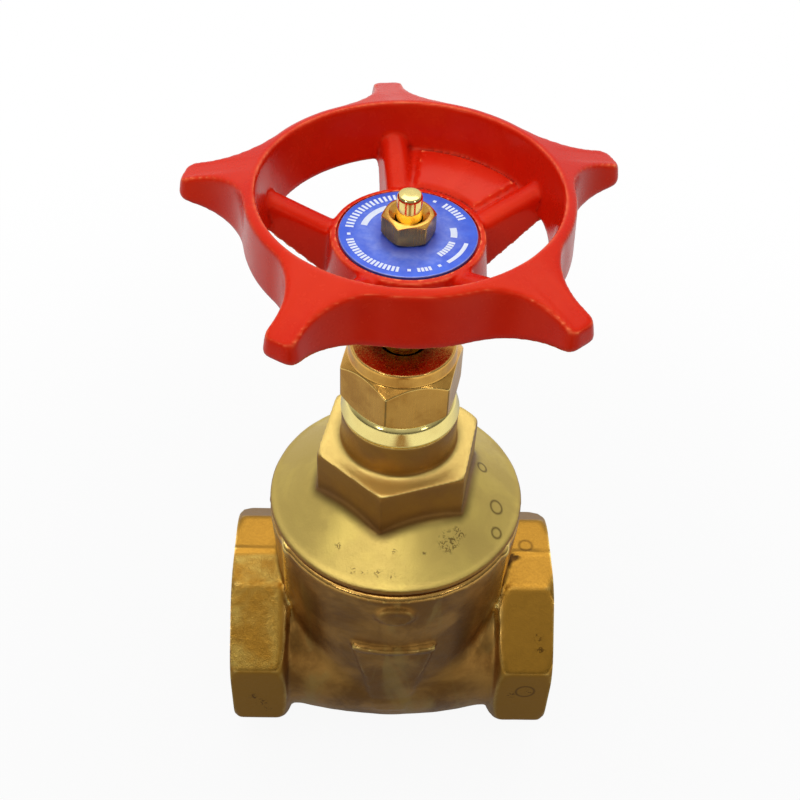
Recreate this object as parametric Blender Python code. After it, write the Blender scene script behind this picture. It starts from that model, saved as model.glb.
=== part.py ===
"""Bronze gate valve for a 1 1/2 inch pipe, with a five-lobed handwheel, as an assembly of separate pieces.

Metres, +Z up. The stem stands on the Z axis, the pipe runs along X, and the valve rests on Z = 0.
It is modelled shut, with the wedge between the seats. One turn of the wheel lifts the wedge by one
thread lead, while the stem itself stays at its height.
"""
import math

import bmesh
import bpy
from mathutils import Matrix, Vector

MM = 0.001
UP = Vector((0, 0, 1))
PIPE = Vector((1, 0, 0))

# Clearances
GAP = 0.3 * MM  # between two pieces that seat on each other, or screw together
OVERLAP = 1.0 * MM  # how far forms reach into each other before they are joined
WELD = 0.002 * MM  # corners this close are made one after a Boolean

# Facets
LARGE_SIDES = 40  # of the large turned forms
SMALL_SIDES = 24  # of the small ones

# Pipe ends and water way
END_TO_END = 83.2 * MM
SOCKET_BORE = 44.9 * MM  # plain bore where the 1 1/2 inch pipe thread is cut
SOCKET_DEPTH = 18.0 * MM
SOCKET_CHAMFER = 1.5 * MM
FLOW_BORE = 36.0 * MM
END_WALL = 4.8 * MM  # under the octagon's flats
OCTAGON_LENGTH = 14.5 * MM
OCTAGON_EDGE_CUT = 1.3 * MM  # chamfer of the octagon's corners at the outer face
OCTAGON_RUNOUT = 3.2 * MM  # how far the corners fade into the neck
NECK_WALL = 2.65 * MM  # around the socket, behind the octagon

# Stem thread and wedge
THREAD_RADIUS = 5.5 * MM  # left-hand, lead 3 mm, so that turning anticlockwise lifts the wedge
THREAD_EDGE = 0.8 * MM  # chamfer at the start of a thread
WEDGE_WALL = 1.8 * MM  # between the thread and the wedge's faces
WEDGE_ANGLE = math.radians(5.0)
SEAT_WIDTH = 2.3 * MM
SEAT_OVERLAP = 0.2 * MM  # of the wedge beyond the seats
BOSS_WALL = 2.7 * MM  # of the threaded boss on the wedge
BOSS_RISE = 9.0 * MM
BOSS_EDGE = 0.8 * MM
GUIDE_REACH = 2.1 * MM  # of the guide lugs beyond the wedge's disc
GUIDE_HALF_WIDTH = 4.2 * MM
GUIDE_HALF_HEIGHT = 13.0 * MM
RIB_HALF_WIDTH = 1.5 * MM
RIB_GRIP = 2.4 * MM  # how deep a rib stands in its slot
RIB_ROOT = 1.2 * MM  # of the rib inside the body's wall
RIB_DROP = 11.0 * MM  # of the rib's foot below the pipe's axis
OPEN_MARGIN = 0.8 * MM  # of the raised wedge above the bore
TOP_CLEARANCE = 0.55 * MM  # of the raised boss below the bonnet's ledge

# Body
CHAMBER_CLEARANCE = 0.8 * MM  # round the wedge's lugs
CHAMBER_FLARE = 0.5 * MM  # of the chamber's flat sides, halfway up
CHAMBER_LIP = 2.0 * MM  # round part of the chamber below the bonnet's skirt
SEAT_STAND = 5.9 * MM  # of the seats from the chamber's wall
BODY_WALL = 4.5 * MM
BODY_RISE = 49.15 * MM  # from the pipe's axis to the rim under the bonnet
SKIRT_CLEARANCE = 1.5 * MM  # of the bonnet's skirt round the raised wedge
SKIRT_WALL = 3.5 * MM
SKIRT_LENGTH = 11.0 * MM
MOUTH_WALL = 3.1 * MM
BOWL_REACH = 24.0 * MM  # where the bowl has narrowed to the neck
FILLET = 5.0 * MM  # of the casting, between barrel and neck
BARREL_DROP = 14.0 * MM  # how far the barrel reaches down inside the bowl
RIM_ROUND = 0.8 * MM
SHIELD_RAISE = 0.8 * MM
SHIELD_TOP_WIDTH = 22.0 * MM
SHIELD_FOOT_WIDTH = 10.0 * MM
SHIELD_TOP = 22.5 * MM  # above the pipe's axis
SHIELD_FOOT = -4.5 * MM

# Bonnet
GASKET_THICKNESS = 0.7 * MM
GASKET_INSET = 0.7 * MM
COVER_INSET = 0.1 * MM  # of the cover from the body's rim
COVER_EDGE = 1.2 * MM
COVER_EDGE_CUT = 0.5 * MM
COVER_ROUND = 1.4 * MM
CONE_SLOPE = 0.68
HEX_FLATS = 35.2 * MM
HEX_TURN = math.radians(-102.0)
HEX_EDGE = 0.7 * MM
HEX_ABOVE_LEDGE = 2.6 * MM
LEDGE_THICKNESS = 1.7 * MM
CAVITY_CLEARANCE = 1.2 * MM
BONNET_NECK_WALL = 2.3 * MM  # round the stuffing box's thread
BONNET_NECK_HEIGHT = 9.8 * MM
NECK_FILLET = 1.6 * MM

# Stem and stuffing box
COLLAR_STAND = 2.3 * MM
COLLAR_THICKNESS = 3.0 * MM
SHANK_RADIUS = 4.75 * MM
BOX_THREAD_WALL = 3.2 * MM  # beyond the stem's collar
BOX_FLOOR = 4.6 * MM
BOX_FLANGE_HEIGHT = 4.8 * MM
BOX_FLANGE_FOOT = 0.2 * MM  # of the flange's foot beyond the neck
BOX_FLANGE_LIP = 0.1 * MM  # of the flange beyond the packing nut's flats
BOX_FLANGE_EDGE = 0.4 * MM
BOX_EDGE = 0.6 * MM
PACKING_WIDTH = 2.2 * MM
PACKING_RINGS = 4
BOX_WALL = 2.75 * MM
FOLLOWER_FLANGE = 1.4 * MM
FOLLOWER_INSET = 1.0 * MM
FOLLOWER_REACH = 6.0 * MM
FOLLOWER_TRAVEL = 1.0 * MM  # left for tightening
PACKING_NUT_WALL = 1.9 * MM
PACKING_NUT_HEIGHT = 15.7 * MM
PACKING_NUT_ROOF = 2.6 * MM
PACKING_NUT_COLLAR = 3.9 * MM
PACKING_NUT_FOOT_CUT = 2.1 * MM
PACKING_NUT_HEAD_CUT = 1.0 * MM
PACKING_NUT_EDGE = 0.7 * MM
PACKING_NUT_INSET = 0.1 * MM  # of the collar from the flats
PACKING_NUT_MOUTH = 0.5 * MM
PACKING_NUT_TURN = math.radians(-105.0)
STEM_SHOWN = 8.5 * MM  # between the packing nut and the wheel's hub

# Handwheel
SQUARE_FOOT = 7.6 * MM  # the stem's tapered square, across its flats
SQUARE_HEAD = 6.6 * MM
HUB_HEIGHT = 19.6 * MM
BOSS_RADIUS = 8.8 * MM
BOSS_HEIGHT = 6.0 * MM
BOSS_FLARE = 0.5 * MM
HUB_BOSS_EDGE = 0.6 * MM
HUB_FLANGE_EDGE = 0.8 * MM
HUB_RADIUS = 15.9 * MM
HUB_FLARE = 1.3 * MM
HUB_LIP = 0.6 * MM
HUB_LIP_WIDTH = 1.2 * MM
HUB_LIP_EDGE = 0.5 * MM
DISH = 11.8 * MM  # of the hub below the rim
RIM_RADIUS = 33.0 * MM
RIM_BAND = 2.5 * MM  # width of the rim's top between the lobes
RIM_SPREAD = 2.0 * MM  # how far the inner wall slopes in, going down
RIM_DEPTH = 13.0 * MM
RIM_WALL = 1.5 * MM
RIM_EDGE = 0.7 * MM
WALL_DRAFT = 0.5 * MM
GROOVE_ROOF = 6.6 * MM  # of the hollow under the rim, below its top
LOBES = 5
LOBE_TURN = math.radians(23.4)
LOBE_TIP_RADIUS = 47.3 * MM
LOBE_TIP_WIDTH = 6.6 * MM
LOBE_TIP_ROUND = 1.8 * MM
LOBE_FLANK = 14.0 * MM
LOBE_SLOPE = 0.31
LOBE_LIFT = 3.6 * MM  # of the tip's underside above the rim's
SPOKE_WIDTH = 5.6 * MM
SPOKE_DRAFT = 0.9 * MM
SPOKE_DROP = 6.4 * MM  # of the spokes' tops below the rim's top, at the rim
SPOKE_DEPTH = 12.0 * MM  # at the hub
SPOKE_SINK = 0.4 * MM  # of the spokes' tops below the hub's lip
SPOKE_LIFT = 0.6 * MM  # of the spokes' undersides above the rim's foot
WEB_DROP = 10.2 * MM
WEB_SINK = 0.7 * MM  # of the web below the hub's lip
WEB_THICKNESS = 2.2 * MM

# Plate, nut and stem end
PLATE_RADIUS = 14.25 * MM
PLATE_THICKNESS = 0.8 * MM
PLATE_EDGE = 0.2 * MM
STUD_RADIUS = 2.6 * MM
STUD_EDGE = 0.6 * MM
WHEEL_NUT_FLATS = 10.0 * MM
WHEEL_NUT_HEIGHT = 4.8 * MM
WHEEL_NUT_TURN = math.radians(5.5)
WHEEL_NUT_EDGE = 0.1 * MM  # of the bevelled ends inside the flats
WHEEL_NUT_MOUTH = 1.15 * MM  # countersink round the stud
STUD_SHOWN = 4.6 * MM

# Water way, worked out
axis_height = SOCKET_BORE / 2 + END_WALL
half_length = END_TO_END / 2
socket_radius = SOCKET_BORE / 2
bore_radius = FLOW_BORE / 2
octagon_radius = axis_height / math.cos(math.pi / 8)
neck_radius = socket_radius + NECK_WALL
seat_radius = bore_radius + SEAT_WIDTH
disc_radius = seat_radius + SEAT_OVERLAP
wedge_half = THREAD_RADIUS + GAP + WEDGE_WALL
guide_radius = disc_radius + GUIDE_REACH
chamber_radius = guide_radius + CHAMBER_CLEARANCE
chamber_half = wedge_half + SEAT_STAND
bowl_radius = chamber_radius + BODY_WALL
lift = bore_radius + disc_radius + OPEN_MARGIN

# Bonnet joint, worked out
rim_height = axis_height + BODY_RISE
skirt_inner = math.hypot(guide_radius, GUIDE_HALF_WIDTH) + SKIRT_CLEARANCE
skirt_outer = skirt_inner + SKIRT_WALL
mouth_radius = skirt_outer + GAP
barrel_radius = mouth_radius + MOUTH_WALL
cover_radius = barrel_radius - COVER_INSET
cover_height = rim_height + GASKET_THICKNESS + 2 * GAP
skirt_foot = cover_height - GASKET_THICKNESS - SKIRT_LENGTH
shoulder_height = skirt_foot - GAP

# Stem heights, worked out
boss_radius = THREAD_RADIUS + GAP + BOSS_WALL
ledge_foot = axis_height + disc_radius + BOSS_RISE + lift + TOP_CLEARANCE
ledge_top = ledge_foot + LEDGE_THICKNESS
hex_top = ledge_foot + HEX_ABOVE_LEDGE
neck_top = hex_top + BONNET_NECK_HEIGHT
stem_foot = axis_height - disc_radius + lift
collar_radius = THREAD_RADIUS + COLLAR_STAND
collar_foot = ledge_top + GAP
collar_top = collar_foot + COLLAR_THICKNESS
box_foot = collar_top + GAP
box_thread_radius = collar_radius + BOX_THREAD_WALL
bonnet_neck_radius = box_thread_radius + GAP + BONNET_NECK_WALL
flange_foot = neck_top + GAP
flange_top = flange_foot + BOX_FLANGE_HEIGHT
stem_hole = SHANK_RADIUS + GAP
packing_radius = stem_hole + PACKING_WIDTH
packing_bore = packing_radius + GAP
box_neck_radius = packing_bore + BOX_WALL
nut_bore = box_neck_radius + GAP
nut_flats = 2 * (nut_bore + PACKING_NUT_WALL)
nut_foot = flange_top + GAP
nut_top = nut_foot + PACKING_NUT_HEIGHT
nut_ceiling = nut_top - PACKING_NUT_ROOF
follower_top = nut_ceiling - GAP
follower_step = follower_top - FOLLOWER_FLANGE
follower_foot = follower_step - FOLLOWER_REACH
box_top = follower_step - FOLLOWER_TRAVEL
packing_floor = box_foot + BOX_FLOOR

# Wheel, worked out
rim_inner_radius = RIM_RADIUS - RIM_BAND
hub_foot = nut_top + STEM_SHOWN
hub_seat = hub_foot + HUB_HEIGHT
hub_face = hub_seat + HUB_LIP
wheel_top = hub_face + DISH
wheel_foot = wheel_top - RIM_DEPTH
plate_foot = hub_seat + GAP
plate_top = plate_foot + PLATE_THICKNESS
wheel_nut_foot = plate_top + GAP
wheel_nut_top = wheel_nut_foot + WHEEL_NUT_HEIGHT
stem_top = wheel_nut_top + STUD_SHOWN


def clear_scene():
    for old in list(bpy.data.objects):
        bpy.data.objects.remove(old, do_unlink=True)


def surface(name, colour, roughness, metallic):
    material = bpy.data.materials.new(name)
    material.use_nodes = True
    shader = material.node_tree.nodes["Principled BSDF"]
    shader.inputs["Base Color"].default_value = (*colour, 1.0)
    shader.inputs["Roughness"].default_value = roughness
    shader.inputs["Metallic"].default_value = metallic
    return material


def new_object(name, form):
    """An object from a bmesh, with its doubles merged and its faces turned outwards."""
    bmesh.ops.remove_doubles(form, verts=form.verts, dist=1e-6)
    bmesh.ops.recalc_face_normals(form, faces=form.faces)
    mesh = bpy.data.meshes.new(name)
    form.to_mesh(mesh)
    form.free()
    made = bpy.data.objects.new(name, mesh)
    bpy.context.scene.collection.objects.link(made)
    return made


def turned(name, profile, steps=LARGE_SIDES, axis=UP):
    """A solid of revolution. The profile is (radius, height) points, closed by itself or by the axis."""
    form = bmesh.new()
    turn = UP.rotation_difference(axis).to_matrix()
    points = [form.verts.new(turn @ Vector((radius, 0, height))) for radius, height in profile]
    edges = [form.edges.new(pair) for pair in zip(points, points[1:] + points[:1])]
    edges = [e for e in edges if any((turn.transposed() @ v.co).x > 1e-7 for v in e.verts)]
    bmesh.ops.spin(form, geom=points + edges, cent=(0, 0, 0), axis=axis,
                   angle=2 * math.pi, steps=steps, use_merge=True)
    for edge in [e for e in form.edges if not e.link_faces]:
        form.edges.remove(edge)
    return new_object(name, form)


def lofted(name, rings):
    """A solid through closed rings of as many points each, with a face on the first and on the last."""
    form = bmesh.new()
    loops = [[form.verts.new(point) for point in ring] for ring in rings]
    for low, high in zip(loops, loops[1:]):
        for i in range(len(low)):
            j = (i + 1) % len(low)
            form.faces.new((low[i], low[j], high[j], high[i]))
    form.faces.new(loops[0])
    form.faces.new(loops[-1])
    return new_object(name, form)


def looped(name, rings):
    """A ring-shaped solid: its section runs through the rings in turn and back to the first."""
    form = bmesh.new()
    loops = [[form.verts.new(point) for point in ring] for ring in rings]
    for low, high in zip(loops, loops[1:] + loops[:1]):
        for i in range(len(low)):
            j = (i + 1) % len(low)
            form.faces.new((low[i], low[j], high[j], high[i]))
    return new_object(name, form)


def prism(name, flats, sides, low, high, turn=0.0, axis=UP, top_flats=None):
    """A prism, given across its flats, or a tapered one where top_flats differs."""
    stand = UP.rotation_difference(axis).to_matrix()
    rings = []
    for across, height in ((flats, low), (top_flats or flats, high)):
        radius = across / 2 / math.cos(math.pi / sides)
        angles = [turn + 2 * math.pi * i / sides for i in range(sides)]
        rings.append([stand @ Vector((radius * math.cos(a), radius * math.sin(a), height)) for a in angles])
    return lofted(name, rings)


def block(name, low, high):
    corners = [(low[0], low[1]), (high[0], low[1]), (high[0], high[1]), (low[0], high[1])]
    return lofted(name, [[Vector((x, y, z)) for x, y in corners] for z in (low[2], high[2])])


def combine(target, operation, *tools):
    """Joins, cuts or meets the target with each tool in turn, and removes the tool."""
    for tool in tools:
        modifier = target.modifiers.new(operation.lower(), "BOOLEAN")
        modifier.operation = operation
        modifier.object = tool
        graph = bpy.context.evaluated_depsgraph_get()
        result = bpy.data.meshes.new_from_object(target.evaluated_get(graph))
        form = bmesh.new()
        form.from_mesh(result)
        bmesh.ops.remove_doubles(form, verts=form.verts, dist=WELD)
        bmesh.ops.dissolve_degenerate(form, edges=form.edges, dist=WELD)
        form.to_mesh(result)
        form.free()
        target.modifiers.clear()
        target.data = result
        bpy.data.objects.remove(tool, do_unlink=True)
    return target


def join(target, *tools):
    return combine(target, "UNION", *tools)


def cut(target, *tools):
    return combine(target, "DIFFERENCE", *tools)


def keep(target, *tools):
    return combine(target, "INTERSECT", *tools)


def finish(piece, material, origin_height=0.0, sharp=32.0):
    """Names the mesh, gives the material and the shading, and puts the origin on the stem's axis."""
    piece.data.name = piece.name
    piece.data.transform(Matrix.Translation((0, 0, -origin_height)))
    piece.location = (0, 0, origin_height)
    piece.data.materials.clear()
    piece.data.materials.append(material)
    piece.data.shade_smooth()
    piece.data.set_sharp_from_angle(angle=math.radians(sharp))
    return piece


def circle(radius, height, angles):
    return [Vector((radius * math.cos(a), radius * math.sin(a), height)) for a in angles]


# Body

def bowl_radius_at(x):
    """The bowl narrows from the middle to the necks."""
    share = min(abs(x) / BOWL_REACH, 1.0)
    return bowl_radius - (bowl_radius - neck_radius) * share**2


def barrel_radius_at(height):
    """The barrel tapers from the bonnet's rim down to the pipe's axis, and rounds off inside the bowl."""
    foot = bowl_radius - GAP / 2
    if height >= axis_height:
        share = (height - axis_height) / (rim_height - axis_height)
        return foot + (barrel_radius - foot) * share**0.85
    drop = (axis_height - height) / bowl_radius
    return (foot - GAP) * math.sqrt(1 - drop**2) - 2 * GAP * drop


def neck_reach_at(height, angle):
    """How far the neck reaches from the stem's axis at this height and direction."""
    along = max(abs(math.cos(angle)), 0.01)
    across = max(abs(math.sin(angle)), 0.01)
    inside = 0.0
    outside = min((half_length - OCTAGON_LENGTH + 2 * OVERLAP) / along, bowl_radius / across)
    for _ in range(20):
        middle = (inside + outside) / 2
        radius = bowl_radius_at(middle * along) - GAP
        if (middle * across) ** 2 + (height - axis_height) ** 2 < radius**2:
            inside = middle
        else:
            outside = middle
    return inside


def barrel_reach(height, angle):
    """The barrel's surface, with the casting's fillet where the neck leaves it."""
    upright = barrel_radius_at(height)
    neck = neck_reach_at(height, angle)
    if height < axis_height:
        return min(upright, neck)
    fillet = FILLET * max(abs(math.cos(angle)), 0.05)
    return max(upright, neck) + max(fillet - abs(upright - neck), 0.0) ** 2 / (4 * fillet)


def front_depth(x, height):
    """The body's front surface at this point of the front view."""
    barrel = barrel_radius_at(max(height, axis_height))
    upper = math.sqrt(barrel**2 - x**2)
    if height >= axis_height:
        return upper
    return math.sqrt(bowl_radius_at(x) ** 2 - (height - axis_height) ** 2)


def barrel():
    """The upright part of the casting, lofted from level to level."""
    angles = [2 * math.pi * i / 56 for i in range(56)]
    span = rim_height - axis_height
    heights = [axis_height - BARREL_DROP, axis_height - BARREL_DROP / 2]
    heights += [axis_height + span * share for share in (0, 0.12, 0.24, 0.36, 0.48, 0.56, 0.7, 0.85)]
    rings = []
    for height in heights:
        reach = [barrel_reach(height, a) for a in angles]
        rings.append([Vector((r * math.cos(a), r * math.sin(a), height)) for r, a in zip(reach, angles)])
    rings.append(circle(barrel_radius, rim_height - RIM_ROUND, angles))
    rings.append(circle(barrel_radius - 0.3 * RIM_ROUND, rim_height - 0.3 * RIM_ROUND, angles))
    rings.append(circle(barrel_radius - RIM_ROUND, rim_height, angles))
    return lofted("barrel", rings)


def bowl():
    """The rounded bottom and the two necks, turned about the pipe's axis."""
    reach = half_length - OCTAGON_LENGTH + OVERLAP
    places = [reach * i / 6 for i in range(-6, 7)]
    profile = [(0, -reach)] + [(bowl_radius_at(x), x) for x in places] + [(0, reach)]
    form = turned("bowl", profile, axis=PIPE)
    form.data.transform(Matrix.Translation((0, 0, axis_height)))
    return form


def pipe_end(side):
    """An octagon for the wrench, its corners cut at the face and faded into the neck."""
    inner = half_length - OCTAGON_LENGTH
    stock = prism("end", 2 * axis_height, 8, inner - OVERLAP, half_length, turn=math.pi / 8, axis=PIPE)
    fade = octagon_radius - neck_radius
    profile = [(0, inner - OVERLAP / 2),
               (neck_radius - GAP, inner - OVERLAP / 2),
               (neck_radius + 0.45 * fade, inner + 0.1 * OCTAGON_RUNOUT),
               (neck_radius + 0.8 * fade, inner + 0.4 * OCTAGON_RUNOUT),
               (octagon_radius + GAP, inner + OCTAGON_RUNOUT),
               (octagon_radius + GAP, half_length - OCTAGON_EDGE_CUT),
               (octagon_radius - OCTAGON_EDGE_CUT, half_length + OVERLAP),
               (0, half_length + OVERLAP)]
    form = keep(stock, turned("turned_end", profile, axis=PIPE))
    if side < 0:
        form.data.transform(Matrix.Scale(-1, 4, PIPE))
        form.data.flip_normals()
    form.data.transform(Matrix.Translation((0, 0, axis_height)))
    return form


def shield(top, foot, top_width, foot_width, raised):
    """A raised panel that follows the front of the casting."""
    rows, columns = 6, 6
    front, back = [], []
    for i in range(rows + 1):
        share = i / rows
        height = axis_height + top + (foot - top) * share
        half = (top_width + (foot_width - top_width) * share) / 2
        across = [half * (2 * j / columns - 1) for j in range(columns + 1)]
        front.append([Vector((x, -front_depth(x, height) - raised, height)) for x in across])
        back.append([Vector((x, -front_depth(x, height) + BODY_WALL / 2, height)) for x in across])
    rings = [near + far[::-1] for near, far in zip(front, back)]
    return lofted("shield", rings)


def chamber():
    """The hollow round the wedge, from the bowl's floor up to the bonnet's thread."""
    top = shoulder_height + OVERLAP
    rise = shoulder_height - axis_height
    levels = []
    for drop in (0.985, 0.94, 0.85, 0.72, 0.56, 0.38, 0.19, 0.0):
        across = chamber_radius * math.sqrt(1 - drop**2)
        along = chamber_half * (1 - 0.45 * drop**3)
        levels.append((axis_height - drop * chamber_radius, min(along, across), across))
    levels.append((axis_height + 0.55 * rise, chamber_half + CHAMBER_FLARE, chamber_radius))
    levels.append((axis_height + 0.72 * rise, (chamber_half + skirt_inner) / 2, chamber_radius))
    levels.append((axis_height + 0.86 * rise, skirt_inner - OVERLAP, chamber_radius))
    levels.append((shoulder_height - CHAMBER_LIP, skirt_inner, skirt_inner))
    levels.append((top, skirt_inner, skirt_inner))
    rings = []
    for index, (height, along, across) in enumerate(levels):
        square = 1.0 if index >= len(levels) - 2 else 0.72
        ring = []
        for i in range(40):
            a = 2 * math.pi * i / 40
            x = math.copysign(abs(math.cos(a)) ** square, math.cos(a))
            y = math.copysign(abs(math.sin(a)) ** square, math.sin(a))
            ring.append(Vector((along * x, across * y, height)))
        rings.append(ring)
    return lofted("chamber", rings)


def tapered_disc(name, radius, half, steps=LARGE_SIDES):
    """A disc across the pipe whose two faces lean together towards the bottom."""
    angles = [2 * math.pi * i / steps for i in range(steps)]
    rings = []
    for side in (-1, 1):
        ring = []
        for a in angles:
            rise = radius * math.sin(a)
            x = side * (half + rise * math.tan(WEDGE_ANGLE))
            ring.append(Vector((x, radius * math.cos(a), axis_height + rise)))
        rings.append(ring)
    return lofted(name, rings)


def along_pipe(name, radius, low, high, steps=LARGE_SIDES):
    form = turned(name, [(0, low), (radius, low), (radius, high), (0, high)], steps, PIPE)
    form.data.transform(Matrix.Translation((0, 0, axis_height)))
    return form


def socket(side):
    """One threaded mouth, left plain, with its chamfer."""
    outer = half_length + OVERLAP
    mouth = socket_radius + SOCKET_CHAMFER
    profile = [(0, half_length - SOCKET_DEPTH),
               (socket_radius, half_length - SOCKET_DEPTH),
               (socket_radius, half_length - SOCKET_CHAMFER),
               (mouth, half_length),
               (mouth, outer),
               (0, outer)]
    if side < 0:
        profile = [(radius, -x) for radius, x in profile]
    form = turned("socket", profile, axis=PIPE)
    form.data.transform(Matrix.Translation((0, 0, axis_height)))
    return form


def make_body(material):
    body = bowl()
    body.name = "body"
    join(body, barrel(), pipe_end(1), pipe_end(-1))
    join(body, shield(SHIELD_TOP, SHIELD_FOOT, SHIELD_TOP_WIDTH, SHIELD_FOOT_WIDTH, SHIELD_RAISE))
    below = bowl_radius * 2
    cut(body, block("ground", (-below, -below, -below), (below, below, 0)))
    cut(body, chamber())
    mouth = [(0, shoulder_height),
             (mouth_radius, shoulder_height),
             (mouth_radius, rim_height - RIM_ROUND),
             (mouth_radius + RIM_ROUND, rim_height),
             (mouth_radius + RIM_ROUND, rim_height + OVERLAP),
             (0, rim_height + OVERLAP)]
    cut(body, turned("mouth", mouth))
    join(body, along_pipe("seats", seat_radius, -chamber_half - OVERLAP, chamber_half + OVERLAP))
    for side in (-1, 1):
        inner = guide_radius - RIB_GRIP
        outer = chamber_radius + RIB_ROOT
        low, high = sorted((side * inner, side * outer))
        join(body, block("rib", (-RIB_HALF_WIDTH, low, axis_height - RIB_DROP),
                         (RIB_HALF_WIDTH, high, axis_height + 0.86 * (shoulder_height - axis_height))))
    cut(body, tapered_disc("between_seats", disc_radius + GAP, wedge_half + GAP))
    reach = half_length + OVERLAP
    cut(body, along_pipe("bore", bore_radius, -reach, reach), socket(1), socket(-1))
    return finish(body, material)


def make_wedge(material):
    """The gate: a tapered disc with guide lugs at its sides and the threaded boss on top."""
    wedge = tapered_disc("wedge", disc_radius, wedge_half)
    rim = along_pipe("lugs", guide_radius, -GUIDE_HALF_WIDTH, GUIDE_HALF_WIDTH)
    reach = guide_radius + OVERLAP
    band = block("band", (-reach, -reach, axis_height - GUIDE_HALF_HEIGHT),
                 (reach, reach, axis_height + GUIDE_HALF_HEIGHT))
    join(wedge, keep(rim, band))
    boss_top = axis_height + disc_radius + BOSS_RISE
    boss_foot = axis_height + (boss_radius - wedge_half) / math.tan(WEDGE_ANGLE)
    join(wedge, turned("boss", [(0, boss_foot), (boss_radius, boss_foot),
                                (boss_radius, boss_top - BOSS_EDGE),
                                (boss_radius - BOSS_EDGE, boss_top), (0, boss_top)], SMALL_SIDES))
    slot = RIB_HALF_WIDTH + GAP
    for side in (-1, 1):
        low, high = sorted((side * (guide_radius - RIB_GRIP - GAP), side * (reach + OVERLAP)))
        cut(wedge, block("slot", (-slot, low, 0), (slot, high, boss_top)))
    hole = THREAD_RADIUS + GAP
    cut(wedge, turned("hole", [(0, 0), (hole, 0), (hole, boss_top + OVERLAP), (0, boss_top + OVERLAP)],
                      SMALL_SIDES))
    return finish(wedge, material, axis_height)


# Bonnet

def cavity_radius_at(height):
    """The hollow clears the raised wedge: its disc, its lugs and its boss."""
    rise = height - axis_height - lift
    radius = boss_radius
    if abs(rise) < disc_radius:
        half = wedge_half + rise * math.tan(WEDGE_ANGLE)
        radius = max(radius, math.hypot(half, math.sqrt(disc_radius**2 - rise**2)))
    if abs(rise) < GUIDE_HALF_HEIGHT:
        radius = max(radius, math.hypot(GUIDE_HALF_WIDTH, math.sqrt(guide_radius**2 - rise**2)))
    return radius + CAVITY_CLEARANCE


def make_bonnet(material):
    """Cover, hexagon and neck in one casting, with a threaded skirt below."""
    edge_top = cover_height + COVER_EDGE
    cone_radius = cover_radius - COVER_ROUND
    cone_foot = edge_top + 0.6 * COVER_ROUND
    core = bonnet_neck_radius
    cone_top = cone_foot + (cone_radius - core) * CONE_SLOPE
    profile = [(0, skirt_foot),
               (skirt_outer - THREAD_EDGE, skirt_foot),
               (skirt_outer, skirt_foot + THREAD_EDGE),
               (skirt_outer, cover_height),
               (cover_radius - COVER_EDGE_CUT, cover_height),
               (cover_radius, cover_height + COVER_EDGE_CUT),
               (cover_radius, edge_top),
               (cover_radius - 0.4 * COVER_ROUND, cone_foot - 0.2 * COVER_ROUND),
               (cone_radius, cone_foot),
               (core, cone_top),
               (core, neck_top),
               (0, neck_top)]
    bonnet = turned("bonnet", profile)
    hexagon = prism("hexagon", HEX_FLATS, 6, cone_foot + 0.5 * MM, hex_top, HEX_TURN)
    bevel = hexagon.modifiers.new("edges", "BEVEL")
    bevel.width = HEX_EDGE
    bevel.segments = 2
    bevel.limit_method = "ANGLE"
    join(bonnet, hexagon)
    join(bonnet, turned("neck_fillet", [(core - OVERLAP, hex_top - OVERLAP),
                                        (core + NECK_FILLET, hex_top - OVERLAP),
                                        (core + 0.93 * NECK_FILLET, hex_top + 0.07 * NECK_FILLET),
                                        (core + 0.29 * NECK_FILLET, hex_top + 0.29 * NECK_FILLET),
                                        (core - 0.14 * NECK_FILLET, hex_top + 1.14 * NECK_FILLET),
                                        (core - OVERLAP, hex_top + 1.14 * NECK_FILLET)]))
    steps = 10
    hollow = [(0, skirt_foot - OVERLAP), (skirt_inner, skirt_foot - OVERLAP), (skirt_inner, skirt_foot)]
    for i in range(1, steps + 1):
        height = skirt_foot + (ledge_foot - skirt_foot) * i / steps
        hollow.append((min(skirt_inner, cavity_radius_at(height)), height))
    hole = THREAD_RADIUS + GAP
    hollow += [(hole, ledge_foot), (hole, ledge_top),
               (collar_radius + GAP, ledge_top), (collar_radius + GAP, box_foot - GAP),
               (box_thread_radius + GAP, box_foot - GAP), (box_thread_radius + GAP, neck_top + OVERLAP),
               (0, neck_top + OVERLAP)]
    cut(bonnet, turned("hollow", hollow))
    return finish(bonnet, material)


def make_gasket(material):
    low = rim_height + GAP
    high = low + GASKET_THICKNESS
    inner = skirt_outer + GAP
    outer = barrel_radius - RIM_ROUND - GASKET_INSET
    profile = [(inner, low), (outer, low), (outer, high), (inner, high)]
    return finish(turned("bonnet_gasket", profile), material)


# Stuffing box

def make_stuffing_box(material):
    """Screwed into the bonnet over the stem's collar; it holds the packing and carries the packing nut."""
    flange_radius = nut_flats / 2 + BOX_FLANGE_LIP
    flange_foot_radius = bonnet_neck_radius + BOX_FLANGE_FOOT
    profile = [(stem_hole, box_foot),
               (box_thread_radius, box_foot),
               (box_thread_radius, flange_foot),
               (flange_foot_radius - BOX_FLANGE_EDGE, flange_foot),
               (flange_foot_radius, flange_foot + BOX_FLANGE_EDGE),
               (flange_radius, flange_top - BOX_FLANGE_EDGE),
               (flange_radius - BOX_FLANGE_EDGE, flange_top),
               (box_neck_radius, flange_top),
               (box_neck_radius, box_top - BOX_EDGE),
               (box_neck_radius - BOX_EDGE, box_top),
               (packing_bore, box_top),
               (packing_bore, packing_floor),
               (stem_hole, packing_floor)]
    return finish(turned("stuffing_box", profile, SMALL_SIDES), material)


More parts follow.
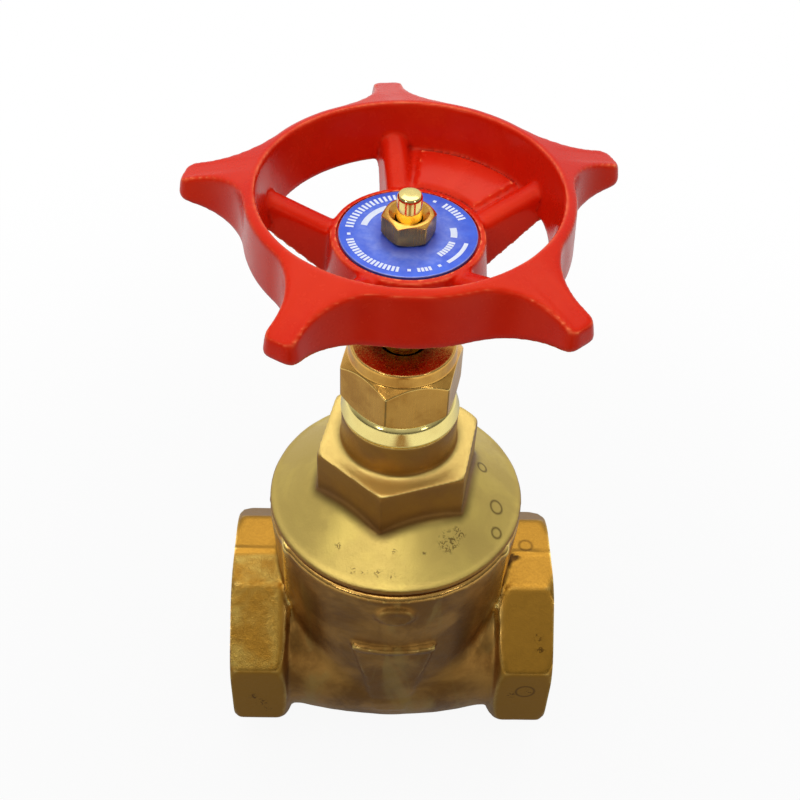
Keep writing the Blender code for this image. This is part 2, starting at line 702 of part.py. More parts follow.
def make_packing(material):
    """Rings of packing that fill the box between its floor and the follower."""
    space = follower_foot - packing_floor
    height = (space - GAP * (PACKING_RINGS + 1)) / PACKING_RINGS
    for i in range(PACKING_RINGS):
        low = packing_floor + GAP + i * (height + GAP)
        high = low + height
        soft = 0.25 * PACKING_WIDTH
        profile = [(stem_hole, low + soft / 2), (stem_hole + soft, low), (packing_radius - soft, low),
                   (packing_radius, low + soft / 2), (packing_radius, high - soft / 2),
                   (packing_radius - soft, high), (stem_hole + soft, high), (stem_hole, high - soft / 2)]
        finish(turned(f"packing_ring_{i + 1}", profile, SMALL_SIDES), material)


def make_follower(material):
    """The bush that the packing nut presses on the packing."""
    flange = box_neck_radius - FOLLOWER_INSET
    profile = [(stem_hole, follower_foot), (packing_radius, follower_foot), (packing_radius, follower_step),
               (flange, follower_step), (flange, follower_top), (stem_hole, follower_top)]
    return finish(turned("gland_follower", profile, SMALL_SIDES), material)


def hex_nut(name, flats, low, high, turn, outline, hollow):
    """A hexagon, cut to a turned outline outside and bored by a turned hollow."""
    nut = prism(name, flats, 6, low, high, turn)
    keep(nut, turned("outline", outline))
    return cut(nut, turned("hollow", hollow, SMALL_SIDES))


def make_packing_nut(material):
    corner = nut_flats / 2 / math.cos(math.pi / 6)
    collar = nut_flats / 2 - PACKING_NUT_INSET
    shoulder = nut_top - PACKING_NUT_COLLAR
    outline = [(0, nut_foot - OVERLAP),
               (collar - PACKING_NUT_HEAD_CUT, nut_foot - OVERLAP),
               (corner + GAP, nut_foot + PACKING_NUT_FOOT_CUT),
               (corner + GAP, shoulder - PACKING_NUT_HEAD_CUT),
               (collar, shoulder),
               (collar - PACKING_NUT_INSET, nut_top - PACKING_NUT_EDGE),
               (collar - PACKING_NUT_EDGE, nut_top + 0.1 * GAP),
               (0, nut_top + OVERLAP)]
    hollow = [(0, nut_foot - OVERLAP), (nut_bore, nut_foot - OVERLAP), (nut_bore, nut_ceiling),
              (stem_hole, nut_ceiling), (stem_hole, nut_top - PACKING_NUT_MOUTH),
              (stem_hole + PACKING_NUT_MOUTH + OVERLAP, nut_top + OVERLAP), (0, nut_top + OVERLAP)]
    nut = hex_nut("packing_nut", nut_flats, nut_foot, nut_top, PACKING_NUT_TURN, outline, hollow)
    return finish(nut, material)


# Stem and wheel

def square_taper(name, spread, low, high, turn=math.pi / 4):
    """The stem's square, grown by a clearance on each side, carried on past both its ends."""
    per_height = (SQUARE_HEAD - SQUARE_FOOT) / (hub_seat - hub_foot)
    foot = SQUARE_FOOT + per_height * (low - hub_foot) + 2 * spread
    head = SQUARE_FOOT + per_height * (high - hub_foot) + 2 * spread
    return prism(name, foot, 4, low, high, turn, top_flats=head)


def make_stem(material):
    """Thread, collar, shank, tapered square and stud, turned and then squared."""
    square_top = hub_seat - GAP
    profile = [(0, stem_foot),
               (THREAD_RADIUS - THREAD_EDGE, stem_foot),
               (THREAD_RADIUS, stem_foot + THREAD_EDGE),
               (THREAD_RADIUS, collar_foot),
               (collar_radius, collar_foot),
               (collar_radius, collar_top),
               (SHANK_RADIUS, collar_top),
               (SHANK_RADIUS, square_top),
               (STUD_RADIUS, square_top),
               (STUD_RADIUS, stem_top - STUD_EDGE),
               (STUD_RADIUS - STUD_EDGE, stem_top),
               (0, stem_top)]
    stem = turned("stem", profile, SMALL_SIDES)
    stock = turned("stock", [(0, hub_foot - 2 * GAP), (SHANK_RADIUS * 2, hub_foot - 2 * GAP),
                             (SHANK_RADIUS * 2, square_top), (0, square_top)], SMALL_SIDES)
    squared = square_taper("squared", 0.0, hub_foot - OVERLAP, hub_seat + OVERLAP)
    cut(stem, cut(stock, squared))
    return finish(stem, material, hub_foot)


def wheel_outline():
    """The wheel's top edge seen from above, with outward directions: five lobes joined by the rim."""
    half = LOBE_TIP_WIDTH / 2
    across = half + LOBE_FLANK
    along = math.sqrt((RIM_RADIUS + LOBE_FLANK) ** 2 - across**2)
    leave = math.atan2(across, along)
    sector = math.pi / LOBES
    flank = Vector((along, across))
    side = []
    for i in range(2):
        a = sector + (leave - sector) * i / 2
        side.append((Vector((RIM_RADIUS * math.cos(a), RIM_RADIUS * math.sin(a))),
                     Vector((math.cos(a), math.sin(a)))))
    tip = LOBE_TIP_RADIUS - LOBE_TIP_ROUND
    sweep = math.acos(max(along - tip, 0.0) / LOBE_FLANK) - leave
    for i in range(6):
        a = leave + sweep * i / 5
        towards = Vector((math.cos(a), math.sin(a)))
        side.append((flank - LOBE_FLANK * towards, towards))
    centre = Vector((tip, half - LOBE_TIP_ROUND))
    for i in range(4):
        a = math.pi / 2 * (1 - i / 3)
        towards = Vector((math.cos(a), math.sin(a)))
        side.append((centre + LOBE_TIP_ROUND * towards, towards))
    lobe = [(Vector((p.x, -p.y)), Vector((d.x, -d.y))) for p, d in side] + side[:0:-1]
    points = []
    for i in range(LOBES):
        turn = Matrix.Rotation(LOBE_TURN + 2 * sector * i, 2)
        points += [(turn @ p, turn @ d) for p, d in lobe]
    return points


def lobe_top(radius):
    return wheel_top - LOBE_SLOPE * max(0.0, radius - RIM_RADIUS + OVERLAP)


def lobe_foot(radius):
    share = max(0.0, radius - RIM_RADIUS) / (LOBE_TIP_RADIUS - RIM_RADIUS)
    return wheel_foot + LOBE_LIFT * min(share, 1.0)


def outline_ring(outline, spread, height):
    """The outline grown by spread, at a height that depends on how far out the point lies."""
    ring = []
    for point, towards in outline:
        place = point + towards * spread
        ring.append(Vector((place.x, place.y, height(point.length))))
    return ring


def inner_radius_at(drop):
    """The rim's inner wall, which slopes in as it goes down."""
    return rim_inner_radius - RIM_SPREAD * drop / RIM_DEPTH


def wheel_rim():
    """Rim and lobes in one loft: up the inner wall, over the top, down the outer wall."""
    outline = wheel_outline()
    angles = [math.atan2(p.y, p.x) for p, _ in outline]
    rings = [circle(inner_radius_at(RIM_DEPTH), wheel_foot + RIM_EDGE, angles),
             circle(inner_radius_at(RIM_EDGE), wheel_top - RIM_EDGE, angles),
             circle(rim_inner_radius + 0.3 * RIM_EDGE, wheel_top - 0.15 * RIM_EDGE, angles),
             circle(rim_inner_radius + RIM_EDGE, wheel_top, angles),
             outline_ring(outline, -1.2 * RIM_EDGE, lobe_top),
             outline_ring(outline, -0.3 * RIM_EDGE, lambda r: lobe_top(r) - 0.3 * RIM_EDGE),
             outline_ring(outline, 0.0, lambda r: lobe_top(r) - 1.2 * RIM_EDGE),
             outline_ring(outline, WALL_DRAFT, lambda r: lobe_foot(r) + 1.6 * RIM_EDGE),
             outline_ring(outline, WALL_DRAFT - 0.5 * RIM_EDGE, lambda r: lobe_foot(r) + 0.4 * RIM_EDGE),
             outline_ring(outline, WALL_DRAFT - 1.5 * RIM_EDGE, lobe_foot),
             circle(inner_radius_at(RIM_DEPTH) + RIM_EDGE, wheel_foot, angles)]
    return looped("handwheel", rings)


def rim_groove():
    """The hollow on the underside, which leaves an even wall."""
    outline = wheel_outline()
    angles = [math.atan2(p.y, p.x) for p, _ in outline]
    roof = wheel_top - GROOVE_ROOF
    below = wheel_foot - OVERLAP
    rings = [outline_ring(outline, WALL_DRAFT - RIM_WALL, lambda r: below),
             outline_ring(outline, 0.5 * WALL_DRAFT - RIM_WALL, lambda r: roof),
             circle(inner_radius_at(GROOVE_ROOF) + RIM_WALL, roof, angles),
             circle(inner_radius_at(RIM_DEPTH) + RIM_WALL, below, angles)]
    return looped("groove", rings)


def spoke(index):
    """A spoke that falls from the rim to the hub, rounded on top and drafted on its sides."""
    turn = Matrix.Rotation(LOBE_TURN + 2 * math.pi * index / LOBES, 3, "Z")
    end = inner_radius_at(SPOKE_DROP) + 0.7 * RIM_WALL
    start = HUB_RADIUS - HUB_LIP_WIDTH / 2
    rings = []
    for share in (0.0, 0.35, 0.7, 1.0):
        radius = start + (end - start) * share
        high = hub_face - SPOKE_SINK + (wheel_top - SPOKE_DROP - hub_face + SPOKE_SINK) * share
        low = hub_face - SPOKE_DEPTH + (wheel_foot + SPOKE_LIFT - hub_face + SPOKE_DEPTH) * share
        half = SPOKE_WIDTH / 2
        section = [(-half - SPOKE_DRAFT, low), (-half, high - 0.36 * SPOKE_WIDTH),
                   (-0.74 * half, high - 0.13 * SPOKE_WIDTH), (-0.3 * half, high),
                   (0.3 * half, high), (0.74 * half, high - 0.13 * SPOKE_WIDTH),
                   (half, high - 0.36 * SPOKE_WIDTH), (half + SPOKE_DRAFT, low)]
        rings.append([turn @ Vector((radius, y, z)) for y, z in section])
    return lofted("spoke", rings)


def web():
    """The plate that fills the window between two neighbouring spokes."""
    end = inner_radius_at(WEB_DROP) + 0.7 * RIM_WALL
    start = HUB_RADIUS - HUB_LIP_WIDTH / 2
    rings = []
    for i in range(10):
        a = LOBE_TURN + 2 * math.pi / LOBES * i / 9
        high_out, high_in = wheel_top - WEB_DROP, hub_face - WEB_SINK
        section = [(start, high_in - WEB_THICKNESS), (end, high_out - WEB_THICKNESS), (end, high_out),
                   (start, high_in)]
        rings.append([Vector((r * math.cos(a), r * math.sin(a), z)) for r, z in section])
    return lofted("web", rings)


def hub():
    flange_foot_height = hub_foot + BOSS_HEIGHT
    profile = [(0, hub_foot),
               (BOSS_RADIUS - HUB_BOSS_EDGE, hub_foot),
               (BOSS_RADIUS, hub_foot + HUB_BOSS_EDGE),
               (BOSS_RADIUS + BOSS_FLARE, flange_foot_height),
               (HUB_RADIUS + HUB_FLARE - HUB_FLANGE_EDGE, flange_foot_height),
               (HUB_RADIUS + HUB_FLARE, flange_foot_height + HUB_FLANGE_EDGE),
               (HUB_RADIUS, hub_face - HUB_LIP_EDGE),
               (HUB_RADIUS - HUB_LIP_EDGE, hub_face),
               (HUB_RADIUS - HUB_LIP_WIDTH, hub_face),
               (HUB_RADIUS - HUB_LIP_WIDTH, hub_seat),
               (0, hub_seat)]
    return turned("hub", profile)


def make_wheel(material):
    wheel = wheel_rim()
    join(wheel, hub(), *[spoke(i) for i in range(LOBES)])
    join(wheel, web())
    cut(wheel, rim_groove())
    cut(wheel, square_taper("square_hole", GAP, hub_foot - OVERLAP, hub_seat + OVERLAP))
    return finish(wheel, material, hub_foot)


def make_plate(material):
    """The round plate on the hub, clamped by the wheel nut."""
    hole = STUD_RADIUS + GAP
    profile = [(hole, plate_foot), (PLATE_RADIUS, plate_foot), (PLATE_RADIUS, plate_top - PLATE_EDGE),
               (PLATE_RADIUS - PLATE_EDGE, plate_top), (hole, plate_top)]
    return finish(turned("id_plate", profile), material, plate_foot)


def make_wheel_nut(material):
    corner = WHEEL_NUT_FLATS / 2 / math.cos(math.pi / 6)
    bevel = corner - WHEEL_NUT_FLATS / 2
    end = WHEEL_NUT_FLATS / 2 - WHEEL_NUT_EDGE - OVERLAP
    low, high = wheel_nut_foot, wheel_nut_top
    outline = [(0, low - OVERLAP),
               (end, low - OVERLAP),
               (corner + GAP, low + bevel),
               (corner + GAP, high - bevel),
               (end, high + OVERLAP),
               (0, high + OVERLAP)]
    hole = STUD_RADIUS + GAP
    hollow = [(0, low - OVERLAP), (hole, low - OVERLAP), (hole, high - WHEEL_NUT_MOUTH),
              (hole + WHEEL_NUT_MOUTH + OVERLAP, high + OVERLAP), (0, high + OVERLAP)]
    nut = hex_nut("wheel_nut", WHEEL_NUT_FLATS, low, high, WHEEL_NUT_TURN, outline, hollow)
    return finish(nut, material, wheel_nut_foot)


def main():
    clear_scene()
    bronze = surface("cast_bronze", (0.36, 0.23, 0.08), 0.42, 1.0)
    brass = surface("turned_brass", (0.62, 0.42, 0.16), 0.22, 1.0)
    graphite = surface("graphite_packing", (0.03, 0.03, 0.03), 0.8, 0.0)
    fibre = surface("gasket_fibre", (0.20, 0.10, 0.06), 0.85, 0.0)
    red = surface("red_paint", (0.62, 0.02, 0.01), 0.22, 0.0)
    blue = surface("blue_plate", (0.04, 0.12, 0.62), 0.35, 0.0)
    make_body(bronze)
    make_bonnet(bronze)
    make_gasket(fibre)
    make_stuffing_box(brass)
    make_packing(graphite)
    make_follower(brass)
    make_packing_nut(brass)
    make_stem(brass)
    make_wedge(bronze)
    make_wheel(red)
    make_plate(blue)
    make_wheel_nut(brass)


if __name__ == "__main__":
    main()
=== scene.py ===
"""Looks for a bronze gate valve with a red handwheel, built round its packed model.

Laid out as an add-on and run as a script. Metres, +Z up: the stem stands on the Z axis, the pipe runs
along X, and the valve rests on Z = 0. Castings are melted together and softened, then cut crisply
where a real one is machined. Turned and milled parts are lofted from their radius at each height.
"""

import math

import bmesh
import bpy
import numpy as np
from mathutils import Matrix, Vector, noise


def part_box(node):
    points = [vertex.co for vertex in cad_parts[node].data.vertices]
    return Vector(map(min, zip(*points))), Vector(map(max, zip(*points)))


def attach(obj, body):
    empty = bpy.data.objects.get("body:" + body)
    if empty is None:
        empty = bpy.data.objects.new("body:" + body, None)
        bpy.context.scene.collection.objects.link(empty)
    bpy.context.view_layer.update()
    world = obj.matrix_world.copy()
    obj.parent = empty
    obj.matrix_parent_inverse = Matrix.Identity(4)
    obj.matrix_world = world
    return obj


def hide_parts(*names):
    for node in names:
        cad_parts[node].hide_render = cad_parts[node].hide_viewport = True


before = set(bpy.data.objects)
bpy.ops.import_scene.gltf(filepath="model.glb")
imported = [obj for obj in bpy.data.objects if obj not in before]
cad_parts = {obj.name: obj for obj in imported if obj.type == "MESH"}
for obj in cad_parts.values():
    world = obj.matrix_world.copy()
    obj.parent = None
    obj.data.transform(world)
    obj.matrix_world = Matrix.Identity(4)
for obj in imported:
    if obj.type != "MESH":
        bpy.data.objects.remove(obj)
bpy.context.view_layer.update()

bl_info = {
    "name": "Bronze gate valve with a red handwheel",
    "version": (1, 0, 0),
    "blender": (4, 5, 0),
    "location": "3D View > Sidebar > Valve",
    "description": "Builds the castings, turned parts, handwheel and studio of a 1 1/2 inch gate valve",
    "category": "Add Mesh",
}

MM = 0.001
TURN = 2 * math.pi
PIPE_AXIS = 27.25  # its height in millimetres
ROOM = 0.3 * MM  # between neighbouring parts
SEAT_LEAN = math.radians(5)  # of the seats and of the wedge's faces
WEDGE_RADIUS = 20.5 * MM
WEDGE_HALF = 7.6 * MM  # half of its thickness at the pipe's axis
WEDGE_HUB_RADIUS = 8.5 * MM
RAISED_AXIS = (PIPE_AXIS + 39.3) * MM  # height of the wedge's middle when the valve is open
LUG_RADIUS = 22.6 * MM  # of the lugs that slide on the ribs
LUG_HALF = 4.2 * MM
LUG_REACH = 13 * MM  # above and below the wedge's middle
HOLLOW_RADIUS = 24.49 * MM  # where the body's hollow meets the bonnet's

# Heights and lengths that the packed model settles
body_low, body_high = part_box("body")
bonnet_low, bonnet_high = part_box("bonnet")
gasket_low, gasket_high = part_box("bonnet_gasket")
box_low, box_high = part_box("stuffing_box")
nut_low, nut_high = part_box("packing_nut")
stem_low, stem_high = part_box("stem")
wedge_low, wedge_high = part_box("wedge")
wheel_low, wheel_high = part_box("handwheel")
plate_low, plate_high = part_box("id_plate")
wheel_nut_low, wheel_nut_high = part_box("wheel_nut")


def length(name, description, millimetres):
    """A length in metres, given in millimetres."""
    return bpy.props.FloatProperty(name=name, description=description, default=millimetres * MM,
                                   min=0.0, precision=5, unit="LENGTH")


def angle(name, description, degrees):
    return bpy.props.FloatProperty(name=name, description=description, default=math.radians(degrees),
                                   subtype="ANGLE")


def share(name, description, value):
    return bpy.props.FloatProperty(name=name, description=description, default=value, min=0.0, soft_max=1.0,
                                   subtype="FACTOR")


def number(name, description, value):
    return bpy.props.IntProperty(name=name, description=description, default=value, min=1)


def colour(name, description, red, green, blue):
    """A colour, given as it looks on a screen from 0 to 255 and kept as light."""
    light = [(c / 255 / 12.92) if c <= 10 else ((c / 255 + 0.055) / 1.055) ** 2.4 for c in (red, green, blue)]
    return bpy.props.FloatVectorProperty(name=name, description=description, default=light, size=3,
                                         min=0.0, max=1.0, subtype="COLOR")


class ValveBodySizes(bpy.types.PropertyGroup):
    """Sizes of the body casting."""
    half_length: length("Half length", "From the stem's axis to a pipe end's face", body_high.x / MM)
    axis_height: length("Pipe axis", "Height of the pipe's axis", PIPE_AXIS)
    rim_height: length("Rim height", "Height of the face under the bonnet", body_high.z / MM)
    socket_radius: length("Socket radius", "To the crests of the pipe thread", 22.45)
    socket_depth: length("Socket depth", "Of the bore for the pipe", 18.0)
    thread_pitch: length("Thread pitch", "Of the 1 1/2 inch pipe thread", 2.309)
    thread_depth: length("Thread depth", "From crest to root", 1.45)
    bore_radius: length("Bore radius", "Of the water way", 18.0)
    neck_radius: length("Neck radius", "Behind the octagon", 25.1)
    bowl_radius: length("Bowl radius", "Round the chamber", 27.9)
    bowl_reach: length("Bowl reach", "From the middle to where the bowl has narrowed", 24.0)
    barrel_radius: length("Barrel radius", "At the rim", 31.39)
    mouth_radius: length("Mouth radius", "Bore for the bonnet", 28.29)
    octagon_length: length("Octagon length", "Of the wrench flats along the pipe", 14.5)
    fillet: length("Fillet", "Between barrel and neck", 5.0)
    skin: length("Skin pitch", "Spacing of the points on the casting's skin", 0.60)
    waviness: length("Waviness", "How far the sand casting strays from a true form", 0.16)


class ValveBonnetSizes(bpy.types.PropertyGroup):
    """Sizes of the bonnet casting."""
    cover_radius: length("Cover radius", "Of the round cover", 31.29)
    cover_height: length("Cover height", "Underside of the cover", 77.7)
    cover_edge: length("Cover edge", "Height of the cover's upright edge", 1.2)
    cover_round: length("Cover round", "Rounding of the cover's edge", 1.4)
    cone_slope: share("Cone slope", "Rise of the cover towards the hexagon", 0.68)
    hex_flats: length("Hexagon", "Across the flats", 35.2)
    hex_top: length("Hexagon top", "Height of its upper face", 99.2)
    hex_turn: angle("Hexagon turn", "Of one corner from +X", -102.0)
    neck_radius: length("Neck radius", "Of the straight neck", 13.6)
    neck_fillet: length("Neck fillet", "Between neck and hexagon", 1.7)
    hex_fillet: length("Hexagon fillet", "Between the hexagon's foot and the cone", 2.2)
    skirt_radius: length("Skirt radius", "Of the screwed skirt inside the body", 27.99)
    skin: length("Skin pitch", "Spacing of the points on the casting's skin", 0.42)
    waviness: length("Waviness", "How far the sand casting strays from a true form", 0.07)


class ValveTrimSizes(bpy.types.PropertyGroup):
    """Sizes of the turned and milled brass parts."""
    flange_foot: length("Flange foot", "Underside of the stuffing box's flange", bonnet_high.z / MM + 0.3)
    flange_top: length("Flange top", "Top of the stuffing box's flange", nut_low.z / MM - 0.3)
    packing_flats: length("Packing nut", "Across its flats", 25.0)
    packing_turn: angle("Packing nut turn", "Of one corner from +X", -105.0)
    packing_collar: length("Packing nut collar", "Height of the round collar on top", 3.9)
    stem_hole: length("Stem hole", "Radius of the hole round the stem", 5.05)
    thread_radius: length("Stem thread", "Radius over the thread", 5.5)
    thread_lead: length("Stem lead", "Rise of the wedge for one turn", 3.0)
    collar_radius: length("Stem collar", "Radius of the thrust collar", 7.8)
    shank_radius: length("Shank", "Radius of the stem through the packing", 4.75)
    stud_radius: length("Stud", "Radius of the stem's end", 2.6)
    wheel_nut_flats: length("Wheel nut", "Across its flats", 10.0)
    wheel_nut_turn: angle("Wheel nut turn", "Of one corner from +X", 5.5)


class ValveWheelSizes(bpy.types.PropertyGroup):
    """Sizes of the handwheel."""
    lobes: number("Lobes", "Finger lobes round the rim", 5)
    lobe_turn: angle("Lobe turn", "Of one lobe from +X", 23.4)
    rim_radius: length("Rim radius", "Between the lobes", 33.0)
    rim_inner: length("Rim inner radius", "At the top", 30.5)
    rim_spread: length("Rim spread", "How far the inner wall slopes in", 2.0)
    rim_depth: length("Rim depth", "From top to foot", 13.0)
    rim_wall: length("Rim wall", "Thickness of its walls", 1.5)
    tip_radius: length("Tip radius", "From the axis to a lobe's tip", 47.3)
    tip_width: length("Tip width", "Of a lobe at its tip", 6.6)
    tip_round: length("Tip round", "Rounding of the tip's corners", 1.8)
    flank: length("Flank", "Radius of the hollow beside a lobe", 14.0)
    lobe_slope: share("Lobe slope", "Fall of a lobe's top towards its tip", 0.31)
    lobe_lift: length("Lobe lift", "Of a tip's underside above the rim's", 3.6)
    spoke_width: length("Spoke width", "Near its top", 5.6)
    spoke_drop: length("Spoke drop", "Below the rim's top", 6.4)
    spoke_depth: length("Spoke depth", "At the hub", 12.0)
    hub_radius: length("Hub radius", "Round the plate", 15.9)
    hub_face: length("Hub face", "Height of the lip round the plate", 158.8)
    boss_radius: length("Boss radius", "Of the boss under the hub", 8.8)
    boss_height: length("Boss height", "Under the hub", 6.0)
    web_drop: length("Web drop", "Of the filled window below the rim's top", 10.2)
    web_thickness: length("Web thickness", "Of the filled window", 2.2)
    skin: length("Skin pitch", "Spacing of the points on the casting's skin", 0.48)


class ValvePlateSizes(bpy.types.PropertyGroup):
    """Sizes of the round plate and its plain printed marks."""
    radius: length("Plate radius", "Of the round plate", 14.25)
    hole: length("Hole", "Radius of the hole for the stem's end", 2.9)
    outer_ring: length("Outer marks", "Radius of the outer ring of marks", 12.1)
    inner_ring: length("Inner marks", "Radius of the inner ring of marks", 9.3)
    mark_length: length("Mark length", "Of one mark, across the ring", 1.7)
    mark_width: length("Mark width", "Of one mark, along the ring", 0.55)
    print_height: length("Print height", "Thickness of the printed marks", 0.03)


class ValveColours(bpy.types.PropertyGroup):
    """Colours of the finishes."""
    bronze_dark: colour("Dark bronze", "Skin of the body casting", 140, 98, 44)
    bronze_warm: colour("Warm bronze", "Lighter clouds in the body's skin", 188, 140, 70)
    bronze_ends: colour("End bronze", "The octagonal ends", 172, 125, 44)
    # Also the painted light on the bonnet's up-facing faces, besides pale clouds on the body's ends.
    bronze_pale: colour("Pale bronze", "Skin of the bonnet casting", 216, 190, 100)
    bronze_shade: colour("Shaded bronze", "Clouds, darker on the bonnet and paler on the body", 182, 152, 84)
    # Painted shade: the bonnet's upright faces take this darker colour in place of shading by the lamps.
    bronze_side_shade: colour("Upright bronze", "Upright faces of the bonnet casting", 154, 110, 42)
    # Also painted light: the hexagon's lit top and the painted highlight on the body's raised ridge.
    bronze_rubbed_and_lit: colour("Rubbed bronze", "Edges that are rubbed bright", 240, 208, 120)
    # Also painted shade: corners, the hexagon's foot, dark bands on the barrel and the packing nut's shaded
    # top take this colour.
    bronze_grime_and_shade: colour("Casting grime", "Corners, pits and marks", 62, 36, 14)
    brass: colour("Brass", "Polished nuts", 236, 180, 88)
    brass_shade: colour("Brass shade", "Tarnish in the brass", 178, 118, 44)
    # Also the painted highlights on brass edges.
    brass_machined: colour("Machined brass", "Turned flange and stem, and rubbed edges", 255, 236, 150)
    enamel: colour("Enamel", "Of the handwheel", 208, 27, 6)
    # Painted highlight: the light colour laid on the wheel's edges.
    enamel_edge_highlight: colour("Enamel on edges", "Where the enamel drew thin over the cast edges", 255, 132, 84)
    enamel_thin: colour("Thin enamel", "Paler clouds in the enamel", 236, 66, 30)
    # Darker in corners, partly as painted shade.
    enamel_deep: colour("Deep enamel", "Where it gathers in corners", 140, 6, 4)
    plate: colour("Plate", "Of the round plate", 52, 98, 222)
    # Also the painted shadow round the wheel nut.
    plate_shade: colour("Plate shade", "Darker clouds in the plate", 40, 70, 196)
    marks: colour("Printed marks", "On the plate", 226, 238, 255)
    graphite: colour("Graphite", "Of the packing rings", 38, 38, 40)
    fibre: colour("Fibre", "Of the gasket", 84, 52, 36)
    floor: colour("Floor", "Of the studio", 184, 184, 184)


# Forms

def placed(form, name, matrix=None):
    """An object from a bmesh, with its doubles merged and its faces outwards."""
    bmesh.ops.remove_doubles(form, verts=form.verts, dist=2e-7)
    bmesh.ops.recalc_face_normals(form, faces=form.faces)
    mesh = bpy.data.meshes.new(name)
    form.to_mesh(mesh)
    form.free()
    if matrix:
        mesh.transform(matrix)
    made = bpy.data.objects.new(name, mesh)
    bpy.context.scene.collection.objects.link(made)
    return made


def lofted(name, rings, closed=False, matrix=None):
    """A skin through rings with the same number of points. An open one gets a face on each end, if that is
    not a point."""
    form = bmesh.new()
    loops = [[form.verts.new(point) for point in ring] for ring in rings]
    for low, high in zip(loops, loops[1:] + (loops[:1] if closed else [])):
        for i in range(len(low)):
            j = (i + 1) % len(low)
            form.faces.new((low[i], low[j], high[j], high[i]))
    if not closed:
        for loop in (loops[0], loops[-1]):
            if (loop[0].co - loop[len(loop) // 2].co).length > 1e-6:
                form.faces.new(loop)
    return placed(form, name, matrix)


def ring(radius, height, angles):
    """Points round the Z axis. Radius and height are one number or one for each angle."""
    points = np.empty((len(angles), 3))
    points[:, 0] = radius * np.cos(angles)
    points[:, 1] = radius * np.sin(angles)
    points[:, 2] = height
    return points


def all_round(steps, turn=0.0):
    """Even angles once round, from turn on."""
    return turn + TURN * np.arange(steps) / steps


def rounded(corners, steps=5):
    """An outline of (radius, height) corners, where a third number rounds the corner by that reach."""
    places = [Vector(corner[:2]) for corner in corners]
    path = []
    for i, corner in enumerate(corners):
        here = places[i]
        if len(corner) < 3:
            path.append(tuple(here))
            continue
        before = places[i - 1] - here
        after = places[(i + 1) % len(places)] - here
        reach = min(corner[2], 0.48 * before.length, 0.48 * after.length)
        start = here + before.normalized() * reach
        end = here + after.normalized() * reach
        for k in range(steps + 1):
            t = k / steps
            path.append(tuple(start * (1 - t) ** 2 + here * 2 * t * (1 - t) + end * t**2))
    return path


def turned(name, corners, steps=128, closed=False, matrix=None):
    """A turned solid. Its outline starts and ends on the axis, or is closed on itself."""
    angles = all_round(steps)
    return lofted(name, [ring(r, z, angles) for r, z in rounded(corners)], closed, matrix)


def along_pipe(body):
    """Lays a form from the Z axis along the pipe's axis."""
    return Matrix.Translation((0, 0, body.axis_height)) @ Matrix.Rotation(math.pi / 2, 4, "Y")


def block(name, low, high):
    """A box between two opposite corners."""
    corners = [(low[0], low[1]), (high[0], low[1]), (high[0], high[1]), (low[0], high[1])]
    return lofted(name, [[(x, y, z) for x, y in corners] for z in (low[2], high[2])])


def polygon_reach(flats, sides, angles, turn):
    """How far a regular polygon reaches in each direction, with a corner at turn."""
    half = math.pi / sides
    return flats / 2 / np.cos((angles - turn) % (2 * half) - half)


def soft_least(a, b, blend):
    """The lesser of two reaches, with a rounded edge where they cross."""
    return np.minimum(a, b) - np.maximum(blend - np.abs(a - b), 0) ** 2 / (4 * blend)


def settled(piece):
    """Makes the piece's modifiers part of its mesh."""
    graph = bpy.context.evaluated_depsgraph_get()
    mesh = bpy.data.meshes.new_from_object(piece.evaluated_get(graph))
    piece.modifiers.clear()
    piece.data = mesh
    return piece


def combine(target, operation, *tools):
    """Joins, cuts or meets the target with each tool in turn, and removes the tool."""
    for tool in tools:
        modifier = target.modifiers.new(operation.lower(), "BOOLEAN")
        modifier.operation = operation
        modifier.solver = "MANIFOLD"
        modifier.object = tool
        settled(target)
        bpy.data.objects.remove(tool, do_unlink=True)
        if not target.data.polygons:
            raise RuntimeError(f"{target.name} has no faces left after {operation.lower()}")


def cut(target, *tools):
    combine(target, "DIFFERENCE", *tools)


def join(target, *tools):
    combine(target, "UNION", *tools)


def melted(name, forms, skin, softness):
    """One casting from forms that reach into each other, its edges and corners softened."""
    form = bmesh.new()
    for part in forms:
        form.from_mesh(part.data)
        bpy.data.objects.remove(part, do_unlink=True)
    mesh = bpy.data.meshes.new(name)
    form.to_mesh(mesh)
    form.free()
    made = bpy.data.objects.new(name, mesh)
    bpy.context.scene.collection.objects.link(made)
    remesh = made.modifiers.new("skin", "REMESH")
    remesh.mode = "VOXEL"
    remesh.voxel_size = skin * 1.0
    smooth = made.modifiers.new("soften", "SMOOTH")
    smooth.factor = 0.5
    smooth.iterations = softness
    return settled(made)


def points_of(mesh):
    """Places and normals of the mesh's points, as two arrays."""
    places = np.empty(len(mesh.vertices) * 3)
    normals = np.empty(len(mesh.vertices) * 3)
    mesh.vertices.foreach_get("co", places)
    mesh.vertices.foreach_get("normal", normals)
    return places.reshape(-1, 3), normals.reshape(-1, 3)


def push(piece, amount):
    """Moves each point along its normal by its own amount."""
    places, normals = points_of(piece.data)
    piece.data.vertices.foreach_set("co", (places + normals * amount[:, None]).ravel())
    piece.data.update()


def clouds(places, size, seed):
    """Smooth noise from about -1 to 1 at each place."""
    spots = places / size + seed
    return np.array([noise.noise(Vector(spot)) for spot in spots])


def step(values, low, high):
    """0 below low, 1 above high, and smooth between."""
    t = np.clip((values - low) / (high - low), 0, 1)
    return t * t * (3 - 2 * t)


def store(mesh, name, values):
    """Keeps a number for each point under a name that the finishes read."""
    attribute = mesh.attributes.get(name) or mesh.attributes.new(name, "FLOAT", "POINT")
    attribute.data.foreach_set("value", np.asarray(values, np.float32))


def store_spots(mesh, places, spots):
    """Stores round patches for dark specks, each given by its place and size in mm."""
    mask = np.zeros(len(places))
    for x, y, z, size in spots:
        away = np.linalg.norm(places - np.array((x, y, z)) * MM, axis=1) / (size * MM)
        mask = np.maximum(mask, 0.9 * (1 - step(away, 0.5, 1.0)))
    store(mesh, "spots", mask)


